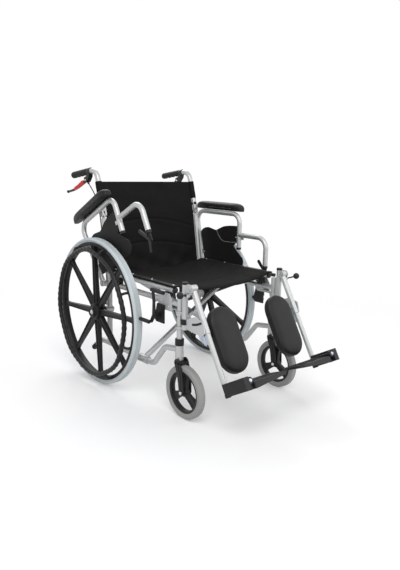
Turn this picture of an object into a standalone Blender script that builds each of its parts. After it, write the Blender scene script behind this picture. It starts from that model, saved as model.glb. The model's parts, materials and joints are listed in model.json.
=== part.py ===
"""Folding wheelchair with swing-away elevating legrests and flip-back armrests.

Metres, +Z up, X forward, Y to the sitter's left. Heights are measured from the floor and
lengths from the rear axle; the last step slides the whole chair so that its bounding box is
centred on the origin.
"""

import math

import bmesh
import bpy
from mathutils import Matrix, Quaternion, Vector

GAP = 0.0004            # running gap between touching pieces
FIT = 0.0006            # extra radius of a bore round its pin

TUBE_R = 0.011          # frame tube
FRAME_Y = 0.248         # plane of each side frame
RAIL_Z = 0.155          # lower rail
SIDE_Z = 0.418          # upper side rail
SEAT_Z = 0.465          # seat rail
FRONT_X = 0.472         # front post and caster stem
POST_FOOT = (0.003, 0.455)
HINGE = (-0.038, 0.698)           # back fold hinge
CANE_BEND = (-0.0885, 0.881)
CANE_END = (-0.2785, 0.8540)
HINGE_REACH = 0.0135

WHEEL_R = 0.305
WHEEL_Y = 0.307
TYRE_DEPTH = 0.017
TYRE_HALF = 0.018
RIM_HALF = 0.0145
RIM_DEPTH = 0.0151
RIM_INNER = WHEEL_R - TYRE_DEPTH - GAP - RIM_DEPTH
SPOKES = 8
WHEEL_STEPS = 36
SPOKE_PHASE = {-1: 4.0, 1: 22.5}
HANDRIM_INSET = 0.0475            # handrim's line, measured in from the tread
HANDRIM_R = WHEEL_R - HANDRIM_INSET
HANDRIM_Y = 0.345
HANDRIM_TUBE = 0.0105
LUG_R = 0.0052                    # lugs that hold the handrim on the rim
LUG_FOOT = 0.0080                 # their straight end, square to the rim

CASTER_R = 0.100
CASTER_TRAIL = 0.036
CASTER_HALF = 0.014
CROWN_ROOM = 0.0035               # between the caster and its fork's crown
CROWN_TALL = 0.0075
CROWN_Z = 2.0 * CASTER_R + CROWN_ROOM
HOUSING_Z = CROWN_Z + CROWN_TALL + 0.0020
STEM_TOP = HOUSING_Z + 0.057
SLEEVE_Z = (HOUSING_Z + 0.055, HOUSING_Z + 0.080)

ARM_X = {-1: 0.250, 1: 0.222}     # planes of the two cross arms
SEAT_RAIL_X = (0.040, 0.447)

ARM_Y = 0.275                     # plane of the armrest frame
ARM_R = 0.0105
ARM_PIVOT = (0.0, 0.420)
ARM_RAISED = {-1: 27.6, 1: 0.0}   # the right armrest is lifted
LATCH_PIVOT = (0.395, 0.460)
CATCH = (0.375, 0.4185)

LOCK_PIVOT = (0.374, 0.365)

HANGER_X = 0.499
KNEE = (0.530, 0.487)
LEG_TILT = 30.0
LEG_Y = 0.235
LEG_A = -0.006                    # leg tube axis, measured forward of the knee line
PLATE_T = 0.358                   # footplate's hinge, measured down the leg from the knee
PLATE_HINGE_Y = 0.2185
PLATE_A = (0.0100, 0.1050)        # footplate's heel and toe edges
PLATE_SLOPE = 0.12                # its toe lies lower than its heel
CALF_PIVOT = (-0.019, 0.2175)
CALF_T = 0.170
PAD_T = 0.201                     # middle of the calf pad

LEVER_PIVOT = (-0.168, 0.836)
PARK_PIVOT = (-0.196, 0.8245)
CABLE_START = (-0.1545, 0.8215)

SILVER = ((0.62, 0.63, 0.64, 1.0), 0.35, 0.9)
STEEL = ((0.70, 0.71, 0.72, 1.0), 0.30, 1.0)
BLACK = ((0.018, 0.018, 0.020, 1.0), 0.45, 0.0)
CLOTH = ((0.022, 0.022, 0.026, 1.0), 0.90, 0.0)
TYRE = ((0.42, 0.46, 0.50, 1.0), 0.75, 0.0)
CASTER_TYRE = ((0.34, 0.34, 0.33, 1.0), 0.75, 0.0)
VINYL = ((0.030, 0.031, 0.034, 1.0), 0.60, 0.0)
RED = ((0.55, 0.03, 0.03, 1.0), 0.45, 0.0)
ZINC = ((0.50, 0.51, 0.50, 1.0), 0.45, 0.9)


def clear_scene():
    for item in list(bpy.data.objects):
        bpy.data.objects.remove(item)


def finish_mesh(name, bm):
    bmesh.ops.remove_doubles(bm, verts=bm.verts, dist=0.000001)
    bmesh.ops.recalc_face_normals(bm, faces=bm.faces)
    mesh = bpy.data.meshes.new(name)
    bm.to_mesh(mesh)
    bm.free()
    item = bpy.data.objects.new(name, mesh)
    bpy.context.collection.objects.link(item)
    return item


def rounded(points, bend, steps=3):
    """The path with each corner turned into an arc."""
    points = [Vector(p) for p in points]
    path = [points[0]]
    for before, corner, after in zip(points, points[1:], points[2:]):
        back = (before - corner).normalized()
        ahead = (after - corner).normalized()
        half = back.angle(ahead) / 2.0
        turn = math.pi - 2.0 * half
        if turn < 0.03:
            path.append(corner)
            continue
        reach = bend / math.tan(half)
        radius = bend
        centre = corner + (back + ahead).normalized() * radius / math.sin(half)
        start = corner + back * reach - centre
        axis = start.cross(corner + ahead * reach - centre).normalized()
        count = max(2, math.ceil(turn / (math.pi / 2.0) * steps))
        for i in range(count + 1):
            path.append(centre + Quaternion(axis, turn * i / count) @ start)
    path.append(points[-1])
    return path


def sweep(path, radius, sides=8, closed=False, side=None):
    """A round bar along a path; radius is a number or a function of the point's index."""
    path = [Vector(p) for p in path]
    count = len(path)
    bm = bmesh.new()
    rings = []
    normal = None
    for i, point in enumerate(path):
        if closed:
            ahead = path[(i + 1) % count] - path[i - 1]
        else:
            ahead = path[min(i + 1, count - 1)] - path[max(i - 1, 0)]
        ahead.normalize()
        if normal is None:
            first = side or (Vector((0, 1, 0)) if abs(ahead.y) < 0.9 else Vector((1, 0, 0)))
            normal = Vector(first)
        normal = (normal - ahead * normal.dot(ahead)).normalized()
        across = ahead.cross(normal)
        r = radius(i) if callable(radius) else radius
        ring = []
        for k in range(sides):
            angle = 2.0 * math.pi * k / sides
            ring.append(bm.verts.new(point + (normal * math.cos(angle) + across * math.sin(angle)) * r))
        rings.append(ring)
    pairs = list(zip(rings, rings[1:]))
    if closed:
        pairs.append((rings[-1], rings[0]))
    for one, two in pairs:
        for k in range(sides):
            bm.faces.new((one[k], one[(k + 1) % sides], two[(k + 1) % sides], two[k]))
    if not closed:
        bm.faces.new(rings[0])
        bm.faces.new(rings[-1])
    return finish_mesh("bar", bm)


def xz(points, y):
    return [Vector((p[0], y, p[1])) for p in points]


def cross_pin(point, y0, y1, radius, sides=8):
    """A round bar along Y through a point of the side view."""
    return sweep([(point[0], y0, point[1]), (point[0], y1, point[1])], radius, sides)


def upright(x, y, z0, z1, radius, sides=8):
    return sweep([(x, y, z0), (x, y, z1)], radius, sides)


def along_x(x0, x1, y, z, radius, sides=8):
    return sweep([(x0, y, z), (x1, y, z)], radius, sides)


def spindle(start, way, steps, sides=8):
    """A turned bar: (distance, radius) steps along a straight axis."""
    way = Vector(way).normalized()
    side = Vector((0, 1, 0)) if abs(way.y) < 0.9 else Vector((1, 0, 0))
    across = way.cross(side)
    bm = bmesh.new()
    rings = []
    for distance, radius in steps:
        ring = []
        for k in range(sides):
            angle = 2.0 * math.pi * k / sides
            out = (side * math.cos(angle) + across * math.sin(angle)) * radius
            ring.append(bm.verts.new(Vector(start) + way * distance + out))
        rings.append(ring)
    for one, two in zip(rings, rings[1:]):
        for k in range(sides):
            j = (k + 1) % sides
            bm.faces.new((one[k], one[j], two[j], two[k]))
    bm.faces.new(rings[0])
    bm.faces.new(rings[-1])
    return finish_mesh("spindle", bm)


def stepped_pin(point, s, steps, sides=8):
    """A turned pin across the chair, from (distance off the middle, radius) steps."""
    return spindle((point[0], 0.0, point[1]), (0.0, s, 0.0), steps, sides)


def slab(outline, y0, y1):
    """A flat plate: an outline in the side view given a thickness along Y."""
    bm = bmesh.new()
    near = [bm.verts.new((p[0], y0, p[1])) for p in outline]
    far = [bm.verts.new((p[0], y1, p[1])) for p in outline]
    bm.faces.new(near)
    bm.faces.new(far)
    count = len(outline)
    for i in range(count):
        j = (i + 1) % count
        bm.faces.new((near[i], near[j], far[j], far[i]))
    return finish_mesh("slab", bm)


def box(x, y, z):
    """A block from three pairs of limits."""
    outline = [(x[0], z[0]), (x[1], z[0]), (x[1], z[1]), (x[0], z[1])]
    return slab(outline, y[0], y[1])


def strap_outline(points, widths, ends=3):
    """The outline of a bar with round ends that follows points in the side view."""
    points = [Vector((p[0], p[1])) for p in points]
    upper = []
    lower = []
    for i, point in enumerate(points):
        ahead = (points[min(i + 1, len(points) - 1)] - points[max(i - 1, 0)]).normalized()
        across = Vector((-ahead.y, ahead.x))
        upper.append(point + across * widths[i])
        lower.append(point - across * widths[i])
    first = (points[1] - points[0]).normalized()
    last = (points[-1] - points[-2]).normalized()
    outline = list(upper)
    turn = math.atan2(last.y, last.x)
    for k in range(1, ends):
        angle = turn + math.pi / 2.0 - math.pi * k / ends
        outline.append(points[-1] + Vector((math.cos(angle), math.sin(angle))) * widths[-1])
    outline += reversed(lower)
    turn = math.atan2(first.y, first.x)
    for k in range(1, ends):
        angle = turn - math.pi / 2.0 - math.pi * k / ends
        outline.append(points[0] + Vector((math.cos(angle), math.sin(angle))) * widths[0])
    return outline


def strap(points, widths, y0, y1):
    return slab(strap_outline(points, widths), y0, y1)


def turned(profile, centre, segments, phase=0.0):
    """A closed profile of (radius, y) pairs turned round an axis along Y."""
    bm = bmesh.new()
    rings = []
    for i in range(segments):
        angle = phase + 2.0 * math.pi * i / segments
        c = math.cos(angle)
        s = math.sin(angle)
        rings.append([bm.verts.new((centre[0] + r * c, y, centre[1] + r * s)) for r, y in profile])
    for i in range(segments):
        one = rings[i]
        two = rings[(i + 1) % segments]
        for k in range(len(profile)):
            j = (k + 1) % len(profile)
            bm.faces.new((one[k], one[j], two[j], two[k]))
    return finish_mesh("ring", bm)


def hulled(corners):
    """A convex solid through eight or more points."""
    bm = bmesh.new()
    for corner in corners:
        bm.verts.new(corner)
    bmesh.ops.convex_hull(bm, input=bm.verts)
    return finish_mesh("block", bm)


def joined(name, solids, cuts=(), look=SILVER, smooth=38.0):
    """One body: the solids united, the cuts taken away."""
    base = solids[0]
    spare = list(solids[1:]) + list(cuts)
    for item in solids[1:]:
        step = base.modifiers.new("union", "BOOLEAN")
        step.operation = "UNION"
        step.solver = "EXACT"
        step.object = item
    for item in cuts:
        step = base.modifiers.new("cut", "BOOLEAN")
        step.operation = "DIFFERENCE"
        step.solver = "EXACT"
        step.object = item
    if spare:
        graph = bpy.context.evaluated_depsgraph_get()
        mesh = bpy.data.meshes.new_from_object(base.evaluated_get(graph))
        base.modifiers.clear()
        base.data = mesh
        for item in spare:
            bpy.data.objects.remove(item)
    bm = bmesh.new()
    bm.from_mesh(base.data)
    bmesh.ops.remove_doubles(bm, verts=bm.verts, dist=0.00001)
    bmesh.ops.dissolve_degenerate(bm, edges=bm.edges, dist=0.00001)
    bm.to_mesh(base.data)
    bm.free()
    base.name = name
    base.data.name = name
    base.data.materials.clear()
    base.data.materials.append(paint(name, look))
    if smooth:
        base.data.shade_smooth()
        base.data.set_sharp_from_angle(angle=math.radians(smooth))
    return base


def paint(name, look):
    material = bpy.data.materials.new(name)
    material.use_nodes = True
    shader = material.node_tree.nodes["Principled BSDF"]
    shader.inputs["Base Color"].default_value = look[0]
    shader.inputs["Roughness"].default_value = look[1]
    shader.inputs["Metallic"].default_value = look[2]
    return material


class Body:
    """An empty on a joint's axis, which carries the pieces that turn about it."""

    def __init__(self, name, pivot=(0.0, 0.0, 0.0), parent=None, turn=0.0):
        self.pivot = Vector(pivot)
        self.empty = bpy.data.objects.new(name, None)
        self.empty.empty_display_size = 0.02
        bpy.context.collection.objects.link(self.empty)
        if parent:
            self.empty.parent = parent.empty
            self.empty.location = self.pivot - parent.pivot
        else:
            self.empty.location = self.pivot
        self.empty.rotation_euler = (0.0, turn, 0.0)

    def carry(self, *pieces):
        for piece in pieces:
            piece.parent = self.empty
            piece.location = -self.pivot


def unit(x, z):
    return Vector((x, z)).normalized()


LOWER_CANE = unit(HINGE[0] - POST_FOOT[0], HINGE[1] - POST_FOOT[1])
UPPER_CANE = unit(CANE_BEND[0] - HINGE[0], CANE_BEND[1] - HINGE[1])
GRIP_WAY = unit(CANE_END[0] - CANE_BEND[0], CANE_END[1] - CANE_BEND[1])


def on_line(start, way, length):
    return (start[0] + way[0] * length, start[1] + way[1] * length)


def at_x(start, way, x):
    return on_line(start, way, (x - start[0]) / way[0])


def side_frame(s, tag):
    y = s * FRAME_Y
    lower = rounded(xz([(FRONT_X, 0.252), (0.388, 0.240), (0.318, RAIL_Z), (-0.062, RAIL_Z),
                        (-0.130, 0.1035)], y), 0.032)
    cane_top = on_line(HINGE, LOWER_CANE, -HINGE_REACH)
    post = rounded(xz([(0.0, RAIL_Z), POST_FOOT, cane_top], y), 0.06, 9)
    tongue = [on_line(HINGE, LOWER_CANE, -0.024), HINGE]
    solids = [
        sweep(lower, TUBE_R),
        sweep(post, TUBE_R),
        sweep(xz([(0.0, SIDE_Z), (FRONT_X, SIDE_Z)], y), TUBE_R),
        spindle((FRONT_X, y, 0.0), (0.0, 0.0, 1.0),
                [(HOUSING_Z, 0.0155), (SLEEVE_Z[0], 0.0155), (SLEEVE_Z[0], 0.0165),
                 (SLEEVE_Z[1], 0.0165), (SLEEVE_Z[1], TUBE_R), (0.380, TUBE_R),
                 (0.380, 0.0150), (0.3895, 0.0150), (0.3895, TUBE_R), (0.462, TUBE_R)], 10),
        strap(tongue, [0.0095, 0.0095], y - 0.0028, y + 0.0028),
        cross_pin(HINGE, y - 0.0108, y + 0.0108, 0.0035),
        cross_pin((0.0, WHEEL_R), s * 0.2355, s * 0.2715, 0.016, 12),
        stepped_pin(ARM_PIVOT, s, [(0.250, 0.009), (ARM_Y - ARM_R - 2.0 * GAP, 0.009),
                                   (ARM_Y - ARM_R - 2.0 * GAP, 0.004),
                                   (ARM_Y + ARM_R + 0.001, 0.004)]),
        stepped_pin(CATCH, s, [(0.250, 0.005), (0.2635, 0.005), (0.2635, 0.003),
                               (0.2845, 0.003)]),
        slab([(0.359, 0.400), (0.372, 0.387), (0.440, 0.387), (0.440, 0.430), (0.425, 0.451),
              (0.359, 0.451)], s * 0.2578, s * 0.2612),
        box((0.412, 0.468), (s * 0.240, s * 0.2600), (0.3970, 0.4000)),
        sweep(xz([(-0.1065, 0.1213), (-0.1325, 0.1016)], y), 0.0125),
        box((-0.0270, -0.004), (s * 0.2425, s * 0.2535), (0.320, 0.336)),
    ]
    for x in (0.080, 0.400):
        solids.append(box((x - 0.0125, x + 0.0125), (s * 0.2385, s * 0.2575), (0.421, 0.4600)))
    cuts = [
        upright(FRONT_X, y, HOUSING_Z - 0.01, STEM_TOP + 0.002, 0.0062 + FIT, 12),
        cross_pin((0.0, WHEEL_R), s * 0.225, s * 0.280, 0.006 + FIT, 12),
        along_x(0.060, 0.420, y, SEAT_Z, TUBE_R + FIT, 12),
    ]
    return joined("side_frame_" + tag, solids, cuts, SILVER)


def rear_axle(s, tag):
    steps = [(0.2300, 0.010), (0.2355 - GAP, 0.010), (0.2355 - GAP, 0.006), (0.334 + GAP, 0.006),
             (0.334 + GAP, 0.011), (0.3390, 0.011)]
    solids = [stepped_pin((0.0, WHEEL_R), s, steps, 10)]
    return joined("rear_axle_" + tag, solids, (), STEEL)


def rear_tyre(s, tag):
    inner = WHEEL_R - TYRE_DEPTH
    half = [(WHEEL_R, 0.0095), (WHEEL_R - 0.0075, TYRE_HALF), (inner, RIM_HALF)]
    profile = [(r, s * WHEEL_Y + d) for r, d in half]
    profile += [(r, s * WHEEL_Y - d) for r, d in reversed(half)]
    ring = turned(profile, (0.0, WHEEL_R), WHEEL_STEPS, math.radians(-90.0))
    return joined("rear_tyre_" + tag, [ring], (), TYRE)


def rear_wheel(s, tag):
    y = s * WHEEL_Y
    centre = (0.0, WHEEL_R)
    outer = WHEEL_R - TYRE_DEPTH - GAP
    profile = [(outer, y + RIM_HALF), (outer, y - RIM_HALF), (RIM_INNER, y - RIM_HALF),
               (RIM_INNER, y + RIM_HALF)]
    solids = [turned(profile, centre, WHEEL_STEPS, math.radians(-90.0))]
    hub = [(0.2725, 0.019), (0.2895, 0.019), (0.2895, 0.034), (0.3310, 0.034), (0.3310, 0.021),
           (0.3340, 0.021)]
    solids.append(stepped_pin(centre, s, hub, 16))
    for k in range(SPOKES):
        angle = math.radians(SPOKE_PHASE[s] + 360.0 * k / SPOKES)
        way = Vector((math.cos(angle), 0.0, math.sin(angle)))
        across = Vector((-math.sin(angle), 0.0, math.cos(angle)))
        corners = []
        for r, wide, thick in ((0.022, 0.0125, 0.0085), (RIM_INNER + 0.006, 0.0090, 0.0060)):
            for a in (-1, 1):
                for b in (-1, 1):
                    point = way * r + across * wide * a + Vector((0.0, thick * b, 0.0))
                    corners.append(point + Vector((0.0, y, WHEEL_R)))
        solids.append(hulled(corners))
    cuts = [cross_pin(centre, s * 0.26, s * 0.35, 0.006 + FIT, 10)]
    return joined("rear_wheel_" + tag, solids, cuts, BLACK, 32.0)


def handrim(s, tag):
    y = s * HANDRIM_Y
    count = 32
    path = []
    for i in range(count):
        angle = math.radians(SPOKE_PHASE[s]) + 2.0 * math.pi * i / count
        r = HANDRIM_R + 0.0022 * math.cos(8.0 * angle)
        path.append((r * math.cos(angle), y, WHEEL_R + r * math.sin(angle)))
    solids = [sweep(path, HANDRIM_TUBE, 6, closed=True)]
    seat_y = WHEEL_Y + RIM_HALF + GAP
    seat_r = (RIM_INNER + WHEEL_R - TYRE_DEPTH) / 2.0
    for k in range(SPOKES):
        angle = math.radians(SPOKE_PHASE[s] + 360.0 * (k + 0.5) / SPOKES)
        lug = []
        # The last run is square to the rim, so that the lug's end lies flat on it.
        for r, d in ((HANDRIM_R, HANDRIM_Y), (seat_r - 0.0025, seat_y + 0.0150),
                     (seat_r, seat_y + LUG_FOOT), (seat_r, seat_y)):
            lug.append((r * math.cos(angle), s * d, WHEEL_R + r * math.sin(angle)))
        solids.append(sweep(lug, LUG_R, 6))
    return joined("handrim_" + tag, solids, (), BLACK)


def caster_fork(s, tag):
    y = s * FRAME_Y
    axle = (FRONT_X + CASTER_TRAIL, CASTER_R)
    inner = CASTER_HALF + 0.0025
    outer = inner + 0.0045
    solids = [
        upright(FRONT_X, y, CROWN_Z + 0.0025, STEM_TOP, 0.0062),
        upright(FRONT_X, y, CROWN_Z, HOUSING_Z - GAP, 0.0175, 12),
        box((FRONT_X - 0.006, FRONT_X + 0.030), (y - outer, y + outer),
            (CROWN_Z, CROWN_Z + CROWN_TALL)),
        cross_pin(axle, y - outer - 0.002, y + outer + 0.002, 0.0048),
        cross_pin(axle, y - outer - 0.0045, y - outer + 0.001, 0.0085),
        cross_pin(axle, y + outer - 0.001, y + outer + 0.0045, 0.0085),
    ]
    line = [(FRONT_X + 0.010, CROWN_Z), (FRONT_X + 0.022, CASTER_R + 0.080),
            (FRONT_X + 0.031, CASTER_R + 0.045), axle]
    for d in (-1, 1):
        solids.append(strap(line, [0.0145, 0.0165, 0.0150, 0.0125], y + d * inner, y + d * outer))
    top = box((FRONT_X - 0.04, FRONT_X + 0.06), (y - 0.03, y + 0.03),
              (HOUSING_Z - GAP, HOUSING_Z + 0.017))
    keep = upright(FRONT_X, y, CROWN_Z - 0.0035, STEM_TOP, 0.0062)
    fork = joined("caster_fork_" + tag, solids, [top], BLACK)
    return joined("caster_fork_" + tag, [fork, keep], (), BLACK)


def caster_tyre(s, tag):
    y = s * FRAME_Y
    half = [(CASTER_R, 0.0078), (CASTER_R - 0.0065, CASTER_HALF), (CASTER_R - 0.022, 0.0115)]
    profile = [(r, y + d) for r, d in half] + [(r, y - d) for r, d in reversed(half)]
    ring = turned(profile, (FRONT_X + CASTER_TRAIL, CASTER_R), 24, math.radians(-90.0))
    return joined("caster_tyre_" + tag, [ring], (), CASTER_TYRE)


def caster_wheel(s, tag):
    y = s * FRAME_Y
    centre = (FRONT_X + CASTER_TRAIL, CASTER_R)
    outer = CASTER_R - 0.022 - GAP
    profile = [(outer, y + 0.0115), (outer, y - 0.0115), (outer - 0.009, y - 0.0095),
               (outer - 0.009, y + 0.0095)]
    hub = CASTER_HALF + 0.0025 - 0.0006
    solids = [turned(profile, centre, 24, math.radians(-90.0)),
              cross_pin(centre, y - hub, y + hub, 0.0150, 10)]
    for k in range(3):
        angle = math.radians(90.0 + 120.0 * k)
        way = Vector((math.cos(angle), 0.0, math.sin(angle)))
        across = Vector((-math.sin(angle), 0.0, math.cos(angle)))
        corners = []
        for r, wide in ((0.004, 0.011), (outer - 0.005, 0.0165)):
            for a in (-1, 1):
                for b in (-1, 1):
                    point = way * r + across * wide * a + Vector((0.0, 0.0070 * b, 0.0))
                    corners.append(point + Vector((centre[0], y, centre[1])))
        solids.append(hulled(corners))
    cuts = [cross_pin(centre, y - 0.03, y + 0.03, 0.0048 + FIT)]
    return joined("caster_wheel_" + tag, solids, cuts, BLACK, 32.0)


def cross_arm(s, name):
    """s is the side of the foot; the seat rail is on the other side."""
    x = ARM_X[s]
    foot = (x, s * FRAME_Y, RAIL_Z)
    head = (x, -s * FRAME_Y, SEAT_Z)
    solids = [
        sweep([foot, head], TUBE_R, side=Vector((1, 0, 0))),
        along_x(x - 0.030, x + 0.030, foot[1], RAIL_Z, TUBE_R + 0.0045, 12),
        along_x(SEAT_RAIL_X[0], SEAT_RAIL_X[1], head[1], SEAT_Z, TUBE_R),
    ]
    cuts = [along_x(x - 0.05, x + 0.05, foot[1], RAIL_Z, TUBE_R + FIT, 12)]
    middle = (RAIL_Z + SEAT_Z) / 2.0
    near = ARM_X[-1]
    far = ARM_X[1]
    if s < 0:
        bolt = [(far - TUBE_R - 0.0055, 0.0085), (far - TUBE_R - 0.0010, 0.0085),
                (far - TUBE_R - 0.0010, 0.0040), (near + TUBE_R - 0.0020, 0.0040),
                (near + TUBE_R - 0.0020, 0.0085), (near + TUBE_R + 0.0045, 0.0085)]
        solids.append(spindle((0.0, 0.0, middle), (1.0, 0.0, 0.0), bolt))
    else:
        cuts.append(along_x(x - 0.02, x + 0.02, 0.0, middle, 0.004 + FIT))
    return joined(name, solids, cuts, SILVER)


def sheet(name, rows, thick, look):
    """A soft sheet: rows of points on its face, given a thickness along each row's way."""
    bm = bmesh.new()
    front = [[bm.verts.new(p) for p, way in row] for row in rows]
    back = [[bm.verts.new(p + way * thick) for p, way in row] for row in rows]
    for grid in (front, back):
        for one, two in zip(grid, grid[1:]):
            for k in range(len(one) - 1):
                bm.faces.new((one[k], one[k + 1], two[k + 1], two[k]))
    for i in range(len(rows) - 1):
        for k in (0, len(rows[0]) - 1):
            bm.faces.new((front[i][k], front[i + 1][k], back[i + 1][k], back[i][k]))
    for row in (0, len(rows) - 1):
        for k in range(len(rows[0]) - 1):
            bm.faces.new((front[row][k], front[row][k + 1], back[row][k + 1], back[row][k]))
    return finish_mesh(name, bm)


def seat():
    """A sling between the seat rails, lapped over both."""
    half = FRAME_Y + TUBE_R + 0.0015
    inside = FRAME_Y - TUBE_R
    rest = SEAT_Z + TUBE_R + 0.0006
    rows = []
    xs = [0.036 + (0.450 - 0.036) * i / 8 for i in range(9)]
    ys = [-half, -inside] + [-inside * math.cos(math.pi * k / 12) for k in range(1, 12)]
    ys += [inside, half]
    for x in xs:
        row = []
        for y in ys:
            sag = max(0.0, 1.0 - (y / inside) ** 2)
            belly = 0.026 * sag * (0.82 + 0.18 * math.sin(math.pi * (x - 0.036) / 0.414))
            seam = 0.0012 * sag * math.cos(2.0 * math.pi * (x - 0.036) / 0.138)
            row.append((Vector((x, y, rest - belly + seam)), Vector((0.0, 0.0, 1.0))))
        rows.append(row)
    return joined("seat", [sheet("seat", rows, 0.0048, CLOTH)], (), CLOTH, 50.0)


def cane_x(z):
    if z < HINGE[1]:
        return HINGE[0] + (z - HINGE[1]) * LOWER_CANE[0] / LOWER_CANE[1]
    return HINGE[0] + (z - HINGE[1]) * UPPER_CANE[0] / UPPER_CANE[1]


def back():
    """The back sling: sleeves round the upper canes and a bellied panel between them."""
    half = FRAME_Y - TUBE_R - 0.0045
    top = 0.832
    rows = []
    for i in range(11):
        row = []
        for k in range(11):
            y = -half * math.cos(math.pi * k / 10)
            across = 1.0 - (y / half) ** 2
            low = 0.487 - 0.022 * across
            z = low + (top - low) * i / 10
            belly = 0.020 * across * (0.6 + 0.4 * math.sin(math.pi * i / 10))
            tuck = 0.0015 * across * math.cos(2.0 * math.pi * i / 5.0)
            row.append((Vector((cane_x(z) - 0.0022 - belly + tuck, y, z)),
                        Vector((1.0, 0.0, 0.0))))
        rows.append(row)
    solids = [sheet("panel", rows, 0.0045, CLOTH)]
    cuts = []
    low = (cane_x(0.757), 0.757)
    high = (cane_x(top), top)
    for s in (-1, 1):
        y = s * FRAME_Y
        solids.append(sweep(xz([low, high], y), 0.0138, 12))
        web = [(low[0] - 0.0020, low[1] + 0.001), (low[0] + 0.0024, low[1] + 0.001),
               (high[0] + 0.0024, high[1] - 0.001), (high[0] - 0.0020, high[1] - 0.001)]
        solids.append(slab(web, s * (half - 0.010), s * (FRAME_Y - 0.008)))
        beyond = xz([on_line(low, UPPER_CANE, -0.02), on_line(high, UPPER_CANE, 0.02)], y)
        cuts.append(sweep(beyond, TUBE_R + FIT, 12))
    return joined("back", solids, cuts, CLOTH, 50.0)


def upper_cane(s, tag):
    y = s * FRAME_Y
    start = on_line(HINGE, UPPER_CANE, HINGE_REACH)
    path = rounded(xz([start, CANE_BEND, CANE_END], y), 0.045, 5)
    block = strap([HINGE, on_line(HINGE, UPPER_CANE, HINGE_REACH + 0.006)],
                  [0.0100, 0.0100], y - 0.0106, y + 0.0106)
    foot = on_line(HINGE, UPPER_CANE, -0.03)
    roof = on_line(HINGE, UPPER_CANE, 0.0125)
    aside = (-0.03 * UPPER_CANE[1], 0.03 * UPPER_CANE[0])
    slot = slab([(foot[0] - aside[0], foot[1] - aside[1]), (foot[0] + aside[0], foot[1] + aside[1]),
                 (roof[0] + aside[0], roof[1] + aside[1]), (roof[0] - aside[0], roof[1] - aside[1])],
                y - 0.0034, y + 0.0034)
    cuts = [slot, cross_pin(HINGE, y - 0.02, y + 0.02, 0.0035 + FIT)]
    return joined("upper_cane_" + tag, [sweep(path, TUBE_R), block], cuts, SILVER)


def grip(s, tag):
    y = s * FRAME_Y
    start = at_x(CANE_BEND, GRIP_WAY, -0.1600)
    ribs = at_x(CANE_BEND, GRIP_WAY, -0.1640)
    end = at_x(CANE_BEND, GRIP_WAY, CANE_END[0] - 0.0065)
    bore = at_x(CANE_BEND, GRIP_WAY, CANE_END[0] - 0.0006)
    length = (Vector(end) - Vector(start)).length
    collar = (Vector(ribs) - Vector(start)).length
    solids = [spindle((start[0], y, start[1]), (GRIP_WAY[0], 0.0, GRIP_WAY[1]),
                      [(0.0, 0.0145), (collar, 0.0145), (collar, 0.0136), (length, 0.0136)], 12)]
    cuts = [sweep(xz([on_line(start, GRIP_WAY, -0.01), bore], y), TUBE_R + FIT, 12)]
    return joined("grip_" + tag, solids, cuts, BLACK)


def brake_bracket(s, tag):
    y = s * FRAME_Y
    start = at_x(CANE_BEND, GRIP_WAY, -0.1330)
    end = at_x(CANE_BEND, GRIP_WAY, -0.1575)
    way = unit(0.0415, -0.0375)
    tip = on_line(CABLE_START, way, -GAP)
    hull = [(-0.1350, 0.868), (-0.1570, 0.866), (-0.1580, 0.8535), (-0.1780, 0.8460), (-0.1785, 0.8330),
            (-0.1690, 0.8265), (-0.1560, 0.8280), (-0.1380, 0.8500)]
    solids = [
        sweep(xz([start, end], y), 0.0143, 12),
        slab(hull, y - 0.0100, y + 0.0100),
        sweep(xz([on_line(tip, way, -0.016), tip], y), 0.0045, 8),
    ]
    slot = slab([(-0.19, 0.8475), (-0.1575, 0.8475), (-0.1575, 0.822), (-0.19, 0.815)],
                y - 0.0040, y + 0.0040)
    cuts = [sweep(xz([on_line(start, GRIP_WAY, -0.01), on_line(end, GRIP_WAY, 0.02)], y),
                  TUBE_R + FIT, 12), slot]
    bracket = joined("brake_bracket_" + tag, solids, cuts, BLACK)
    pin = cross_pin(LEVER_PIVOT, y - 0.0095, y + 0.0095, 0.003)
    return joined("brake_bracket_" + tag, [bracket, pin], (), BLACK)


def brake_lever(s, tag):
    y = s * FRAME_Y
    line = [LEVER_PIVOT, (-0.200, 0.8215), (-0.255, 0.7990), (-0.300, 0.7865), (-0.337, 0.7800)]
    end = line[-1]
    solids = [
        strap(line, [0.0065, 0.0060, 0.0052, 0.0046, 0.0042], y - 0.0034, y + 0.0034),
        ball((end[0], y, end[1]), 0.0068, 10, 6),
        cross_pin(PARK_PIVOT, y, s * 0.2570, 0.002, 8),
    ]
    cuts = [cross_pin(LEVER_PIVOT, y - 0.01, y + 0.01, 0.003 + FIT)]
    return joined("brake_lever_" + tag, solids, cuts, BLACK)


def parking_lock(s, tag):
    line = [(-0.1885, 0.8275), PARK_PIVOT, (-0.230, 0.8080), (-0.273, 0.7905)]
    solids = [strap(line, [0.0048, 0.0055, 0.0050, 0.0042], s * 0.2520, s * 0.2560)]
    cuts = [cross_pin(PARK_PIVOT, s * 0.245, s * 0.265, 0.002 + FIT, 8)]
    return joined("parking_lock_" + tag, solids, cuts, RED)


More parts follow.
